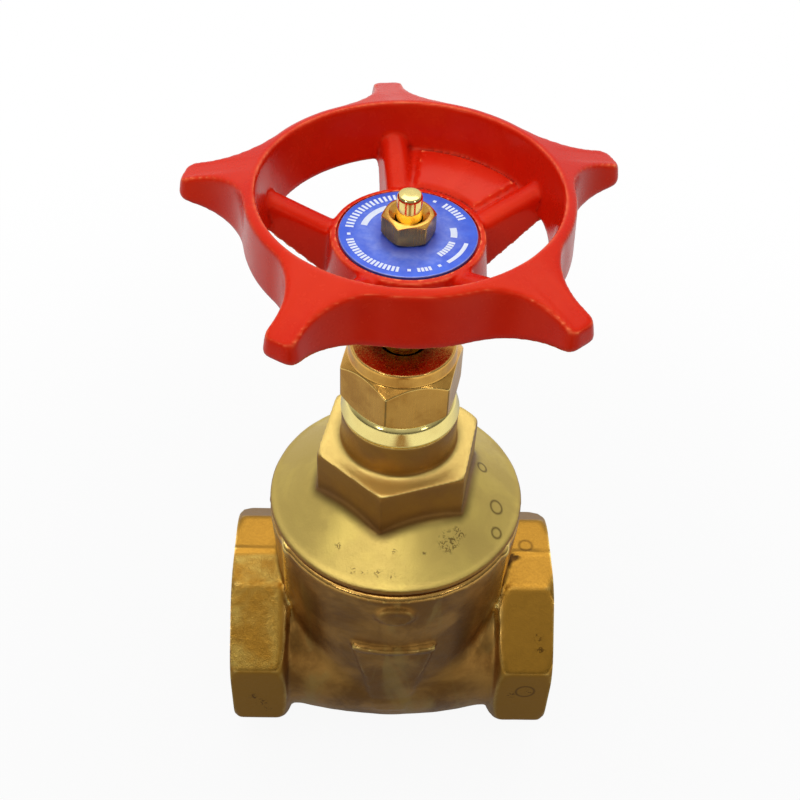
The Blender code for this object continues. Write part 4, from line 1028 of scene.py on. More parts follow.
class VALVE_OT_body(bpy.types.Operator):
    """Casts the body with its octagonal ends and raised panel, and machines its mouths, threads and seats"""
    bl_idname = "valve.body"
    bl_label = "Cast body"

    def execute(self, context):
        body = context.scene.valve_body
        shield = panel_form(body, top=24.9 * MM, foot=-6.5 * MM, top_width=19.6 * MM, foot_width=7.0 * MM,
                            raised=0.35 * MM)
        bar = panel_form(body, top=27.2 * MM, foot=25.2 * MM, top_width=20.8 * MM, foot_width=20.6 * MM,
                         raised=1.2 * MM, rows=4, flat=0.2)
        oval = oval_form(body, height=69.4 * MM, half_width=4.6 * MM, half_height=3.4 * MM, raised=1.1 * MM)
        forms = [bowl_form(body), barrel_form(body), end_form(body, 1), end_form(body, -1), shield, bar, oval]
        casting = melted("body_casting", forms, body.skin, softness=4)
        body_marks(body, casting)
        reach = 2 * body.half_length
        cut(casting, block("floor", (-reach, -reach, -reach), (reach, reach, 0)))
        for side in (-1, 1):
            low, high = sorted((side * body.half_length, side * reach))
            cut(casting, block("face", (low, -reach, -reach), (high, reach, reach)))
        shoulder = bonnet_low.z - ROOM
        cut(casting, chamber_form(body))
        cut(casting, turned("mouth", [(0, shoulder), (body.mouth_radius, shoulder),
                                      (body.mouth_radius, body.rim_height - 0.8 * MM),
                                      (body.mouth_radius + 1.8 * MM, body.rim_height + MM),
                                      (0, body.rim_height + MM)]))
        seat_radius, seat_reach = 20.3 * MM, 14.5 * MM
        join(casting, rod(body, seat_radius, -seat_reach, seat_reach))
        rib_edge, rib_root, rib_half = 20.2 * MM, 24.6 * MM, 1.5 * MM
        rib_foot = body.axis_height - 11 * MM
        rib_top = body.axis_height + 0.86 * (shoulder - body.axis_height)
        for side in (-1, 1):
            low, high = sorted((side * rib_edge, side * rib_root))
            join(casting, block("rib", (-rib_half, low, rib_foot), (rib_half, high, rib_top)))
        cut(casting, leaning_disc(body, WEDGE_RADIUS + ROOM, WEDGE_HALF + ROOM))
        cut(casting, rod(body, body.bore_radius, -reach, reach))
        cut(casting, threaded_mouth(body, 1), threaded_mouth(body, -1))
        mark_edges(casting, 1.0)
        dressed(casting, "body_bronze", "valve_body", "cast_bronze", "body")
        return {"FINISHED"}


class VALVE_OT_wedge(bpy.types.Operator):
    """Casts the wedge that shuts the water way, and cuts its slots and the hole for the stem's thread"""
    bl_idname = "valve.wedge"
    bl_label = "Cast wedge"

    def execute(self, context):
        body = context.scene.valve_body
        trim = context.scene.valve_trim
        middle = body.axis_height
        wide = 30 * MM
        lugs = rod(body, LUG_RADIUS, -LUG_HALF, LUG_HALF)
        combine(lugs, "INTERSECT", block("band", (-wide, -wide, middle - LUG_REACH),
                                         (wide, wide, middle + LUG_REACH)))
        hub_foot, hub_top = middle + 10.3 * MM, wedge_high.z
        hub = turned("hub", [(0, hub_foot), (WEDGE_HUB_RADIUS, hub_foot),
                             (WEDGE_HUB_RADIUS, hub_top, 0.8 * MM), (0, hub_top)], 72)
        disc = leaning_disc(body, WEDGE_RADIUS, WEDGE_HALF)
        wedge = melted("wedge_casting", [disc, lugs, hub], skin=0.5 * MM, softness=2)
        slot_floor, outside, slot_half = 19.9 * MM, 25 * MM, 1.8 * MM
        for side in (-1, 1):
            low, high = sorted((side * slot_floor, side * outside))
            cut(wedge, block("slot", (-slot_half, low, 0), (slot_half, high, hub_top)))
        hole = trim.thread_radius + ROOM
        cut(wedge, turned("hole", [(0, 0), (hole, 0), (hole, hub_top + MM), (0, hub_top + MM)], 72))
        mark_edges(wedge, 0.8)
        dressed(wedge, "bonnet_bronze", "wedge", "cast_bronze", "wedge")
        return {"FINISHED"}


# Bonnet

def bonnet_outline(bonnet):
    """The turned outline of cover, cone and neck, with the skirt below."""
    edge_top = bonnet.cover_height + bonnet.cover_edge
    cone_radius = bonnet.cover_radius - bonnet.cover_round
    cone_foot = edge_top + 0.6 * bonnet.cover_round
    core = bonnet.neck_radius
    cone_top = cone_foot + (cone_radius - core) * bonnet.cone_slope
    skirt = bonnet.skirt_radius
    return [(0, bonnet_low.z), (skirt - 0.8 * MM, bonnet_low.z), (skirt, bonnet_low.z + 0.8 * MM),
            (skirt, bonnet.cover_height), (bonnet.cover_radius, bonnet.cover_height, 0.4 * MM),
            (bonnet.cover_radius, edge_top, 0.3 * MM),
            (bonnet.cover_radius - 0.5 * bonnet.cover_round, cone_foot - 0.2 * MM, 0.4 * MM),
            (cone_radius, cone_foot, 1.2 * MM), (core, cone_top), (core, bonnet_high.z, 0.3 * MM),
            (0, bonnet_high.z)]


def hexagon_form(bonnet):
    """The wrench hexagon, its upper corners cut a little."""
    angles = all_round(240, bonnet.hex_turn)
    flats = polygon_reach(bonnet.hex_flats, 6, angles, bonnet.hex_turn)
    corner = bonnet.hex_flats / 2 / math.cos(math.pi / 6)
    low, top = bonnet.cover_height + 2.5 * MM, bonnet.hex_top
    rings = []
    for height, limit in ((low, corner + MM), (top - 1.3 * MM, corner + 0.1 * MM),
                          (top - 0.5 * MM, corner - 0.3 * MM), (top, corner - 0.9 * MM)):
        rings.append(ring(soft_least(flats, limit, 0.3 * MM), height, angles))
    return lofted("hexagon", rings)


def hexagon_skirt(bonnet):
    """The casting's fillet between the hexagon's foot and the cone."""
    angles = all_round(240, bonnet.hex_turn)
    flats = polygon_reach(bonnet.hex_flats, 6, angles, bonnet.hex_turn)
    flats = soft_least(flats, bonnet.hex_flats / 2 / math.cos(math.pi / 6) - 0.7 * MM, 1.0 * MM) - 0.1 * MM
    cone_radius = bonnet.cover_radius - bonnet.cover_round
    cone_foot = bonnet.cover_height + bonnet.cover_edge + 0.6 * bonnet.cover_round

    def cone_at(radius):
        return cone_foot + (cone_radius - radius) * bonnet.cone_slope

    outer = flats + bonnet.hex_fillet
    rings = [ring(flats - 2 * MM, cone_at(outer) - MM, angles), ring(outer, cone_at(outer) - MM, angles)]
    for t in np.linspace(0, 1, 9):
        reach = (1 - t) ** 2 * outer + (1 - (1 - t) ** 2) * flats
        height = (1 - t) ** 2 * cone_at(outer) + 2 * t * (1 - t) * cone_at(flats)
        height = height + t**2 * (cone_at(flats) + bonnet.hex_fillet)
        rings.append(ring(reach, height, angles))
    rings.append(ring(flats - 2 * MM, cone_at(flats) + bonnet.hex_fillet, angles))
    return lofted("hexagon_skirt", rings, closed=True)


def foot_shade(bonnet, places):
    """Painted shade: 1 in the fillet round the hexagon's foot, which the finish darkens, and 0 elsewhere."""
    radius = np.hypot(places[:, 0], places[:, 1])
    flats = polygon_reach(bonnet.hex_flats, 6, np.arctan2(places[:, 1], places[:, 0]), bonnet.hex_turn)
    flats = np.minimum(flats, bonnet.hex_flats / 2 / math.cos(math.pi / 6) - 0.7 * MM)
    rise = places[:, 2] - bonnet.cover_height - bonnet.cover_edge
    rise -= (bonnet.cover_radius - bonnet.cover_round - flats) * bonnet.cone_slope
    beside = 1 - step(radius - flats, 0.9 * MM, 2.8 * MM)
    low = 1 - step(rise, 2.2 * MM, 5.5 * MM)
    return 0.42 * beside * low * (places[:, 2] > bonnet.cover_height + 3 * MM)


def cavity_outline(trim):
    """The hollow inside the bonnet, which clears the raised wedge, with the bores for stem and box above."""
    low, ledge = bonnet_low.z, 96.6 * MM
    lean = math.tan(SEAT_LEAN)
    outline = [(0, low - MM), (HOLLOW_RADIUS, low - MM), (HOLLOW_RADIUS, low)]
    for height in np.linspace(low, ledge, 30)[1:]:
        rise = height - RAISED_AXIS
        reach = WEDGE_HUB_RADIUS
        if abs(rise) < WEDGE_RADIUS:
            reach = max(reach, math.hypot(WEDGE_HALF + rise * lean, math.sqrt(WEDGE_RADIUS**2 - rise**2)))
        if abs(rise) < LUG_REACH:
            reach = max(reach, math.hypot(LUG_HALF, math.sqrt(LUG_RADIUS**2 - rise**2)))
        outline.append((min(HOLLOW_RADIUS, reach + 1.2 * MM), height))
    hole, collar, screwed = trim.thread_radius + ROOM, trim.collar_radius + ROOM, 11.3 * MM
    collar_foot, collar_top, top = 98.3 * MM, 101.6 * MM, bonnet_high.z
    return outline + [(hole, ledge), (hole, collar_foot), (collar, collar_foot), (collar, collar_top),
                      (screwed, collar_top), (screwed, top - 0.7 * MM), (screwed + 1.2 * MM, top + 0.5 * MM),
                      (0, top + 0.5 * MM)]


class VALVE_OT_bonnet(bpy.types.Operator):
    """Casts the bonnet with its cover, hexagon and neck, and bores it"""
    bl_idname = "valve.bonnet"
    bl_label = "Cast bonnet"

    def execute(self, context):
        bonnet = context.scene.valve_bonnet
        trim = context.scene.valve_trim
        core, top, reach = bonnet.neck_radius, bonnet.hex_top, bonnet.neck_fillet
        outline = [(core - 2 * MM, top - MM), (core + reach, top - MM)]
        for t in np.linspace(0, 1, 8):
            outline.append((core + reach * (1 - t) ** 2, top + 0.1 * MM + reach * t**2))
        fillet = turned("fillet", outline + [(core - 2 * MM, top + reach + 0.1 * MM)], closed=True)
        cover = turned("cover", bonnet_outline(bonnet), 200)
        forms = [cover, hexagon_form(bonnet), hexagon_skirt(bonnet), fillet]
        casting = melted("bonnet_casting", forms, bonnet.skin, softness=5)
        places, normals = points_of(casting.data)
        push(casting, bonnet.waviness * (clouds(places, 8 * MM, 5.5) + 0.5 * clouds(places, 3 * MM, 2.2)))
        # Painted light: the mask of up-facing faces that the finish paints pale.
        store(casting.data, "upward", step(normals[:, 2], 0.5, 0.8))
        # Painted shade in the fillet round the hexagon's foot.
        store(casting.data, "foot", foot_shade(bonnet, places))
        # Painted light on the hexagon's top.
        store(casting.data, "lit", 0.8 * step(places[:, 2], top - 1.2 * MM, top - 0.3 * MM))
        store_spots(casting.data, places, (
            (-13.9, -20.9, 83.0, 1.1), (-0.8, -23.2, 84.3, 0.8), (-10.6, -26.1, 80.9, 1.3),
            (-7.6, -26.7, 81.0, 1.0), (-4.4, -27.3, 81.1, 1.3), (-1.2, -27.8, 81.2, 1.2),
            (6.2, -23.2, 83.7, 0.6), (12.2, -20.2, 84.3, 3.4), (14.6, -17.6, 84.5, 2.2)))
        cut(casting, turned("hollow", cavity_outline(trim)))
        mark_edges(casting, 0.8)
        dressed(casting, "bonnet_bronze", "valve_body", "cast_bronze", "bonnet")
        return {"FINISHED"}


class VALVE_OT_seals(bpy.types.Operator):
    """Cuts the bonnet's gasket and gives the packing and its follower their finishes"""
    bl_idname = "valve.seals"
    bl_label = "Lay gasket and packing"

    def execute(self, context):
        outer = gasket_high.x
        inner = context.scene.valve_bonnet.skirt_radius + ROOM
        low, high = gasket_low.z, gasket_high.z
        outline = [(inner, low), (outer, low, 0.2 * MM), (outer, high, 0.2 * MM), (inner, high)]
        gasket = turned("gasket_ring", outline, 160, closed=True)
        mark_edges(gasket, 0.2)
        dressed(gasket, "gasket_fibre", "valve_body", "gasket_fibre", "bonnet_gasket")
        for name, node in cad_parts.items():
            finish = {"packing": "graphite_yarn", "gland": "polished_brass"}.get(name.split("_")[0])
            if finish and name != "packing_nut":
                node.data.materials.clear()
                node.data.materials.append(bpy.data.materials[finish])
        return {"FINISHED"}


# Turned and milled parts

def heights_through(start, *stretches):
    """Heights from the start on, where each stretch has its own end and number of heights."""
    heights = [start]
    for end, count in stretches:
        heights += list(np.linspace(heights[-1], end, count))[1:]
    return heights


def square_flats(height, room=0.0):
    """Across the flats of the stem's tapered square at this height, with room round it in millimetres."""
    return (7.6 - 1.0 * (height - wheel_low.z) / (19.6 * MM) + room) * MM


def hexagon_nut(name, flats, turn, heights, outline, hollow, steps=240):
    """A hexagon cut to an outline of (height, radius) points and bored to (radius, height) points."""
    angles = all_round(steps, turn)
    reach = polygon_reach(flats, 6, angles, turn)
    reach = soft_least(reach, flats / 2 / math.cos(math.pi / 6) - 0.12 * MM, 0.25 * MM)
    levels, radii = zip(*outline)
    rings = [ring(soft_least(reach, np.interp(z, levels, radii), 0.12 * MM), z, angles) for z in heights]
    return lofted(name, rings + [ring(r, z, angles) for r, z in hollow], closed=True)


class VALVE_OT_gland(bpy.types.Operator):
    """Turns the stuffing box and mills the packing nut above it"""
    bl_idname = "valve.gland"
    bl_label = "Turn stuffing box and packing nut"

    def execute(self, context):
        trim = context.scene.valve_trim
        bonnet = context.scene.valve_bonnet
        foot, top = trim.flange_foot, trim.flange_top
        half = trim.packing_flats / 2
        neck = half - 2.2 * MM
        screw = 11.0 * MM
        bore = 7.55 * MM
        floor = box_low.z + 4.6 * MM
        outline = [(trim.stem_hole, box_low.z, 0.2 * MM), (screw, box_low.z, 0.5 * MM), (screw, foot),
                   (bonnet.neck_radius + 0.1 * MM, foot, 0.2 * MM),
                   (bonnet.neck_radius + 0.2 * MM, foot + 0.5 * MM, 0.25 * MM),
                   (half + 0.3 * MM, top - 0.9 * MM, 0.5 * MM), (half - 0.5 * MM, top, 0.25 * MM),
                   (neck, top, 0.2 * MM), (neck, box_high.z, 0.5 * MM), (bore, box_high.z, 0.2 * MM),
                   (bore, floor), (trim.stem_hole, floor)]
        gland = turned("stuffing_box_turned", outline, 160, closed=True)
        mark_edges(gland, 0.35)
        dressed(gland, "machined_brass", "valve_body", "turned_brass", "stuffing_box")

        low, high = nut_low.z, nut_high.z
        corner = half / math.cos(math.pi / 6)
        shoulder = high - trim.packing_collar
        rim = [(low, half - 0.2 * MM), (low + 2.1 * MM, corner + 0.1 * MM),
               (shoulder - 2.0 * MM, corner + 0.1 * MM), (shoulder + 0.4 * MM, half - 0.2 * MM),
               (shoulder + 0.7 * MM, half - 0.35 * MM), (high - 0.8 * MM, half - 0.5 * MM),
               (high - 0.35 * MM, half - 0.62 * MM), (high - 0.1 * MM, half - 0.85 * MM),
               (high, half - 1.2 * MM)]
        heights = heights_through(low, (low + 2.4 * MM, 18), (shoulder - 2.2 * MM, 8), (high, 48))
        hole, ceiling = trim.stem_hole, high - 2.6 * MM
        hollow = [(hole + 0.6 * MM, high), (hole, high - 0.6 * MM), (hole, ceiling), (neck + ROOM, ceiling),
                  (neck + ROOM, low)]
        nut = hexagon_nut("packing_nut_milled", trim.packing_flats, trim.packing_turn, heights, rim, hollow)
        mark_edges(nut, 0.5)
        # Painted reflection and shade: a dark line down each corner of the flats and a darker top face under
        # the wheel, stored in the mask that the grime reads.
        x, y, z = points_of(nut.data)[0].T
        radius = np.hypot(x, y)
        off_corner = (np.arctan2(y, x) - trim.packing_turn + math.pi / 6) % (math.pi / 3) - math.pi / 6
        dark_corner_line = (1 - step(np.abs(off_corner), 0.0, math.radians(2))) * (z < shoulder - 1.6 * MM)
        shaded_top = (1 - step(radius, half - 2.0 * MM, half - 1.4 * MM)) * (z > shoulder)
        store(nut.data, "hollow", np.maximum(0.7 * dark_corner_line * (radius > half), 0.8 * shaded_top))
        dressed(nut, "polished_brass", "valve_body", "turned_brass", "packing_nut")
        return {"FINISHED"}


class VALVE_OT_stem(bpy.types.Operator):
    """Turns the stem with its left-hand thread, thrust collar, tapered square and end"""
    bl_idname = "valve.stem"
    bl_label = "Turn stem"

    def execute(self, context):
        trim = context.scene.valve_trim
        angles = all_round(96)
        low, high = stem_low.z, stem_high.z
        collar_foot, collar_top = 98.6 * MM, 101.6 * MM
        square_foot, square_top = wheel_low.z, plate_low.z - 0.6 * MM
        rings = [ring(0.0, low, angles)]
        depth = 1.2 * MM  # of the thread
        for z in np.arange(low, collar_foot - 1.5 * MM, 0.2 * MM):
            phase = (z / trim.thread_lead + angles / TURN) % 1.0
            tooth = np.clip((0.64 - np.abs(2 * phase - 1)) / 0.28, 0, 1)
            reach = trim.thread_radius - depth * (1 - tooth)
            rings.append(ring(np.minimum(reach, trim.thread_radius - 0.9 * MM + (z - low)), z, angles))
        relief = trim.thread_radius - depth
        collar, bevel = trim.collar_radius, 0.3 * MM
        for radius, z in ((relief, collar_foot - 1.4 * MM), (relief, collar_foot),
                          (collar - bevel, collar_foot), (collar, collar_foot + bevel),
                          (collar, collar_top - bevel), (collar - bevel, collar_top),
                          (trim.shank_radius, collar_top), (trim.shank_radius, square_foot - 1.2 * MM)):
            rings.append(ring(radius, z, angles))
        for z in np.linspace(square_foot - 1.1 * MM, square_top, 60):
            squared = polygon_reach(square_flats(z), 4, angles, math.pi / 4)
            fade = max(0.0, (square_foot - 0.3 * MM - z)) * 2.5
            rings.append(ring(soft_least(squared + fade, trim.shank_radius, 0.2 * MM), z, angles))
        stud = trim.stud_radius
        for radius, z in ((stud, square_top), (stud, high - 1.0 * MM), (stud - 0.12 * MM, high - 0.55 * MM),
                          (stud - 0.4 * MM, high - 0.2 * MM), (stud - 0.9 * MM, high - 0.03 * MM),
                          (stud - 1.6 * MM, high), (0.0, high)):
            rings.append(ring(radius, z, angles))
        stem = lofted("stem_turned", rings)
        mark_edges(stem, 0.3)
        dressed(stem, "machined_brass", "handwheel", "turned_brass", "stem")
        return {"FINISHED"}


class VALVE_OT_wheel_nut(bpy.types.Operator):
    """Mills the nut that holds the handwheel and its plate"""
    bl_idname = "valve.wheel_nut"
    bl_label = "Mill wheel nut"

    def execute(self, context):
        trim = context.scene.valve_trim
        half = trim.wheel_nut_flats / 2
        corner = half / math.cos(math.pi / 6)
        low, high = wheel_nut_low.z, wheel_nut_high.z
        rim = [(low, half + 0.05 * MM), (low + 0.5 * MM, corner + 0.1 * MM),
               (high - 0.85 * MM, corner + 0.1 * MM), (high - 0.1 * MM, half - 0.15 * MM),
               (high, half - 0.45 * MM)]
        heights = heights_through(low, (low + 0.6 * MM, 8), (high - 1.2 * MM, 5), (high, 22))
        hole = trim.stud_radius + 0.25 * MM
        hollow = [(half - 0.85 * MM, high), (half - 1.0 * MM, high - 0.12 * MM), (hole, high - 1.3 * MM),
                  (hole, low)]
        flats, turn = trim.wheel_nut_flats, trim.wheel_nut_turn
        nut = hexagon_nut("wheel_nut_milled", flats, turn, heights, rim, hollow, 144)
        mark_edges(nut, 0.2)
        dressed(nut, "polished_brass", "handwheel", "turned_brass", "wheel_nut")
        return {"FINISHED"}


# Handwheel

def wheel_outline(wheel):
    """The wheel's top edge seen from above and its outward directions, as complex numbers."""
    half = wheel.tip_width / 2
    across = half + wheel.flank
    along = math.sqrt((wheel.rim_radius + wheel.flank) ** 2 - across**2)
    leave = math.atan2(across, along)
    sector = math.pi / wheel.lobes
    tip = wheel.tip_radius - wheel.tip_round
    sweep = math.acos(max(along - tip, 0.0) / wheel.flank) - leave
    rim = np.exp(1j * np.linspace(sector, leave, 9)[:-1])
    flank = np.exp(1j * np.linspace(leave, leave + sweep, 18))
    corner = np.exp(1j * np.linspace(math.pi / 2, 0, 9))
    points = np.concatenate([wheel.rim_radius * rim, complex(along, across) - wheel.flank * flank,
                             complex(tip, half - wheel.tip_round) + wheel.tip_round * corner])
    towards = np.concatenate([rim, flank, corner])
    points = np.concatenate([points.conj(), points[:0:-1]])
    towards = np.concatenate([towards.conj(), towards[:0:-1]])
    turns = np.exp(1j * (wheel.lobe_turn + 2 * sector * np.arange(wheel.lobes)))
    return np.concatenate([points * t for t in turns]), np.concatenate([towards * t for t in turns])


def rim_form(wheel):
    """Rim and lobes in one loft of their hollow section."""
    top, foot = wheel_high.z, wheel_high.z - wheel.rim_depth
    edge, wall, draft = 0.7 * MM, wheel.rim_wall, 0.5 * MM
    roof_drop = 6.6 * MM
    roof = top - roof_drop
    points, towards = wheel_outline(wheel)
    angles = np.angle(points)
    out = np.abs(points)
    lobe_top = top - wheel.lobe_slope * np.maximum(out - wheel.rim_radius + MM, 0.0)
    outward = np.clip((out - wheel.rim_radius) / (wheel.tip_radius - wheel.rim_radius), 0, 1)
    lobe_foot = foot + wheel.lobe_lift * outward

    def outer(spread, height):
        place = points + towards * spread
        return np.stack([place.real, place.imag, height + 0 * out], axis=1)

    def inner(drop, spread, height):
        return ring(wheel.rim_inner - wheel.rim_spread * drop / wheel.rim_depth + spread, height, angles)

    rings = [inner(wheel.rim_depth, 0.0, foot + edge), inner(edge, 0.0, top - edge),
             inner(0.0, 0.3 * edge, top - 0.15 * edge), inner(0.0, edge, top),
             outer(-1.2 * edge, lobe_top), outer(-0.3 * edge, lobe_top - 0.3 * edge),
             outer(0.0, lobe_top - 1.2 * edge), outer(draft, lobe_foot + 1.6 * edge),
             outer(draft - 0.4 * edge, lobe_foot + 0.3 * edge), outer(draft - edge, lobe_foot),
             outer(draft - wall, lobe_foot), outer(0.5 * draft - wall, roof), inner(roof_drop, wall, roof),
             inner(wheel.rim_depth, wall, foot), inner(wheel.rim_depth, 0.6 * edge, foot)]
    return lofted("rim", rings, closed=True)


def spoke_form(wheel, index):
    """A spoke that falls from the rim to the hub, rounded on top and drafted on its sides."""
    turn = Matrix.Rotation(wheel.lobe_turn + TURN * index / wheel.lobes, 4, "Z")
    start = wheel.hub_radius - 0.6 * MM
    end = wheel.rim_inner - wheel.rim_spread * wheel.spoke_drop / wheel.rim_depth + 0.7 * wheel.rim_wall
    half = wheel.spoke_width / 2
    crown = 0.36 * wheel.spoke_width
    climb = wheel_high.z - wheel.spoke_drop - wheel.hub_face + 0.4 * MM
    foot = wheel.hub_face - wheel.spoke_depth
    rings = []
    for part in np.linspace(0, 1, 12):
        high = wheel.hub_face - 0.4 * MM + climb * part
        low = foot + (wheel_high.z - wheel.rim_depth + 0.6 * MM - foot) * part
        section = [(-half - 0.9 * MM, low)]
        for a in np.linspace(math.pi, 0, 13):
            section.append((half * math.cos(a), high - crown + crown * math.sin(a)))
        section.append((half + 0.9 * MM, low))
        rings.append([(start + (end - start) * part, y, z) for y, z in section])
    return lofted("spoke", rings, matrix=turn)


def swept(name, section, first, last, steps):
    """A section of (radius, height) points swept round the stem's axis from one angle to another."""
    rings = []
    for a in np.linspace(first, last, steps):
        rings.append([(r * math.cos(a), r * math.sin(a), z) for r, z in section])
    return lofted(name, rings)


def web_form(wheel):
    """The plate that fills the window between two neighbouring spokes."""
    start = wheel.hub_radius - 0.6 * MM
    end = wheel.rim_inner - wheel.rim_spread * wheel.web_drop / wheel.rim_depth + 0.7 * wheel.rim_wall
    high_out, high_in = wheel_high.z - wheel.web_drop, wheel.hub_face - 0.7 * MM
    thick = wheel.web_thickness
    section = [(start, high_in - thick), (end, high_out - thick), (end, high_out), (start, high_in)]
    return swept("web", section, wheel.lobe_turn, wheel.lobe_turn + TURN / wheel.lobes, 40)


def web_panel(wheel):
    """A low plain panel on the web."""
    start = wheel.hub_radius + 1.2 * MM
    end = wheel.rim_inner - wheel.rim_spread - 0.9 * MM
    margin = math.radians(12)
    rise = (wheel_high.z - wheel.web_drop - wheel.hub_face + 0.7 * MM) / (end - start + 3.6 * MM)
    low = wheel.hub_face - 0.7 * MM + 1.8 * MM * rise
    high = low + (end - start) * rise
    section = [(start, low - MM), (end, high - MM), (end, high + 0.8 * MM), (start, low + 0.8 * MM)]
    last = wheel.lobe_turn + TURN / wheel.lobes - margin
    return swept("web_panel", section, wheel.lobe_turn + margin, last, 30)


def hub_form(wheel):
    """The hub under the plate, with its boss below."""
    foot, lip = wheel_low.z, wheel.hub_face + 0.2 * MM
    under = foot + wheel.boss_height
    boss, hub = wheel.boss_radius, wheel.hub_radius
    outline = [(0, foot), (boss, foot, 0.7 * MM), (boss + 0.5 * MM, under, 1.0 * MM),
               (hub + 1.3 * MM, under, 0.9 * MM), (hub + 0.1 * MM, lip, 0.6 * MM), (hub - 1.6 * MM, lip),
               (0, wheel.hub_face - 0.3 * MM)]
    return turned("hub", outline)


class VALVE_OT_handwheel(bpy.types.Operator):
    """Casts the five-lobed handwheel with its rim, spokes, web and hub"""
    bl_idname = "valve.handwheel"
    bl_label = "Cast handwheel"

    def execute(self, context):
        wheel = context.scene.valve_wheel
        plate = context.scene.valve_plate
        forms = [rim_form(wheel), hub_form(wheel), web_form(wheel), web_panel(wheel)]
        forms += [spoke_form(wheel, i) for i in range(wheel.lobes)]
        casting = melted("handwheel_casting", forms, wheel.skin, softness=3)
        places, _ = points_of(casting.data)
        waviness = 0.05 * MM
        push(casting, waviness * clouds(places, 7 * MM, 6.1))
        seat = plate_low.z - ROOM
        rim, above = plate.radius + 0.45 * MM, seat + 2 * MM
        cut(casting, turned("seat", [(0, seat), (rim, seat), (rim + 0.15 * MM, above), (0, above)]))
        corners = all_round(4, math.pi / 4)
        rings = []
        for z in (wheel_low.z - MM, seat + MM):
            rings.append(ring(polygon_reach(square_flats(z, 0.6), 4, corners, math.pi / 4), z, corners))
        cut(casting, lofted("square", rings))
        mark_edges(casting, 0.8)
        dressed(casting, "red_enamel", "handwheel", "red_paint", "handwheel")
        return {"FINISHED"}


# Plate and its print

def mark_tree():
    """Geometry nodes for an arc of upright marks, made by rule: one box for each mark."""
    tree = bpy.data.node_groups.new("Arc of marks", "GeometryNodeTree")
    face = tree.interface
    kinds = {"Count": "NodeSocketInt", "Finish": "NodeSocketMaterial"}
    sockets = {}
    for label in ("Count", "Radius", "Start", "Sweep", "Length", "Width", "Thickness", "Height", "Finish"):
        kind = kinds.get(label, "NodeSocketFloat")
        sockets[label] = face.new_socket(label, in_out="INPUT", socket_type=kind).identifier
    face.new_socket("Marks", in_out="OUTPUT", socket_type="NodeSocketGeometry")
    given = tree.nodes.new("NodeGroupInput").outputs
    points = add(tree, "GeometryNodePoints", {"Count": given["Count"]})
    index = add(tree, "GeometryNodeInputIndex").outputs[0]
    last = most(tree, less(tree, given["Count"], 1.0), 1.0)
    angle_at = plus(tree, given["Start"], times(tree, given["Sweep"], sums(tree, "DIVIDE", index, last)))
    x = times(tree, given["Radius"], sums(tree, "COSINE", angle_at))
    y = times(tree, given["Radius"], sums(tree, "SINE", angle_at))
    spot = add(tree, "ShaderNodeCombineXYZ", {0: x, 1: y, 2: given["Height"]}).outputs[0]
    moved = add(tree, "GeometryNodeSetPosition", {"Geometry": points.outputs[0], "Position": spot})
    sides = {0: given["Length"], 1: given["Width"], 2: given["Thickness"]}
    size = add(tree, "ShaderNodeCombineXYZ", sides).outputs[0]
    box = add(tree, "GeometryNodeMeshCube", {"Size": size})
    euler = add(tree, "ShaderNodeCombineXYZ", {2: angle_at}).outputs[0]
    turned_to = add(tree, "FunctionNodeEulerToRotation", {0: euler}).outputs[0]
    values = {"Points": moved.outputs[0], "Instance": box.outputs[0], "Rotation": turned_to}
    instances = add(tree, "GeometryNodeInstanceOnPoints", values)
    real = add(tree, "GeometryNodeRealizeInstances", {0: instances.outputs[0]})
    values = {"Geometry": real.outputs[0], "Material": given["Finish"]}
    coloured = add(tree, "GeometryNodeSetMaterial", values)
    tree.links.new(coloured.outputs[0], tree.nodes.new("NodeGroupOutput").inputs[0])
    return tree, sockets


def arc_of_marks(tree, sockets, count, radius, start, sweep, long, wide, thick, height):
    """One arc of marks as a plain mesh, from start through sweep degrees."""
    made = bpy.data.objects.new("marks", bpy.data.meshes.new("marks"))
    bpy.context.scene.collection.objects.link(made)
    modifier = made.modifiers.new("marks", "NODES")
    modifier.node_group = tree
    values = {"Count": count, "Radius": radius, "Start": math.radians(start), "Sweep": math.radians(sweep),
              "Length": long, "Width": wide, "Thickness": thick, "Height": height,
              "Finish": bpy.data.materials["print_white"]}
    for label, value in values.items():
        modifier[sockets[label]] = value
    return settled(made)


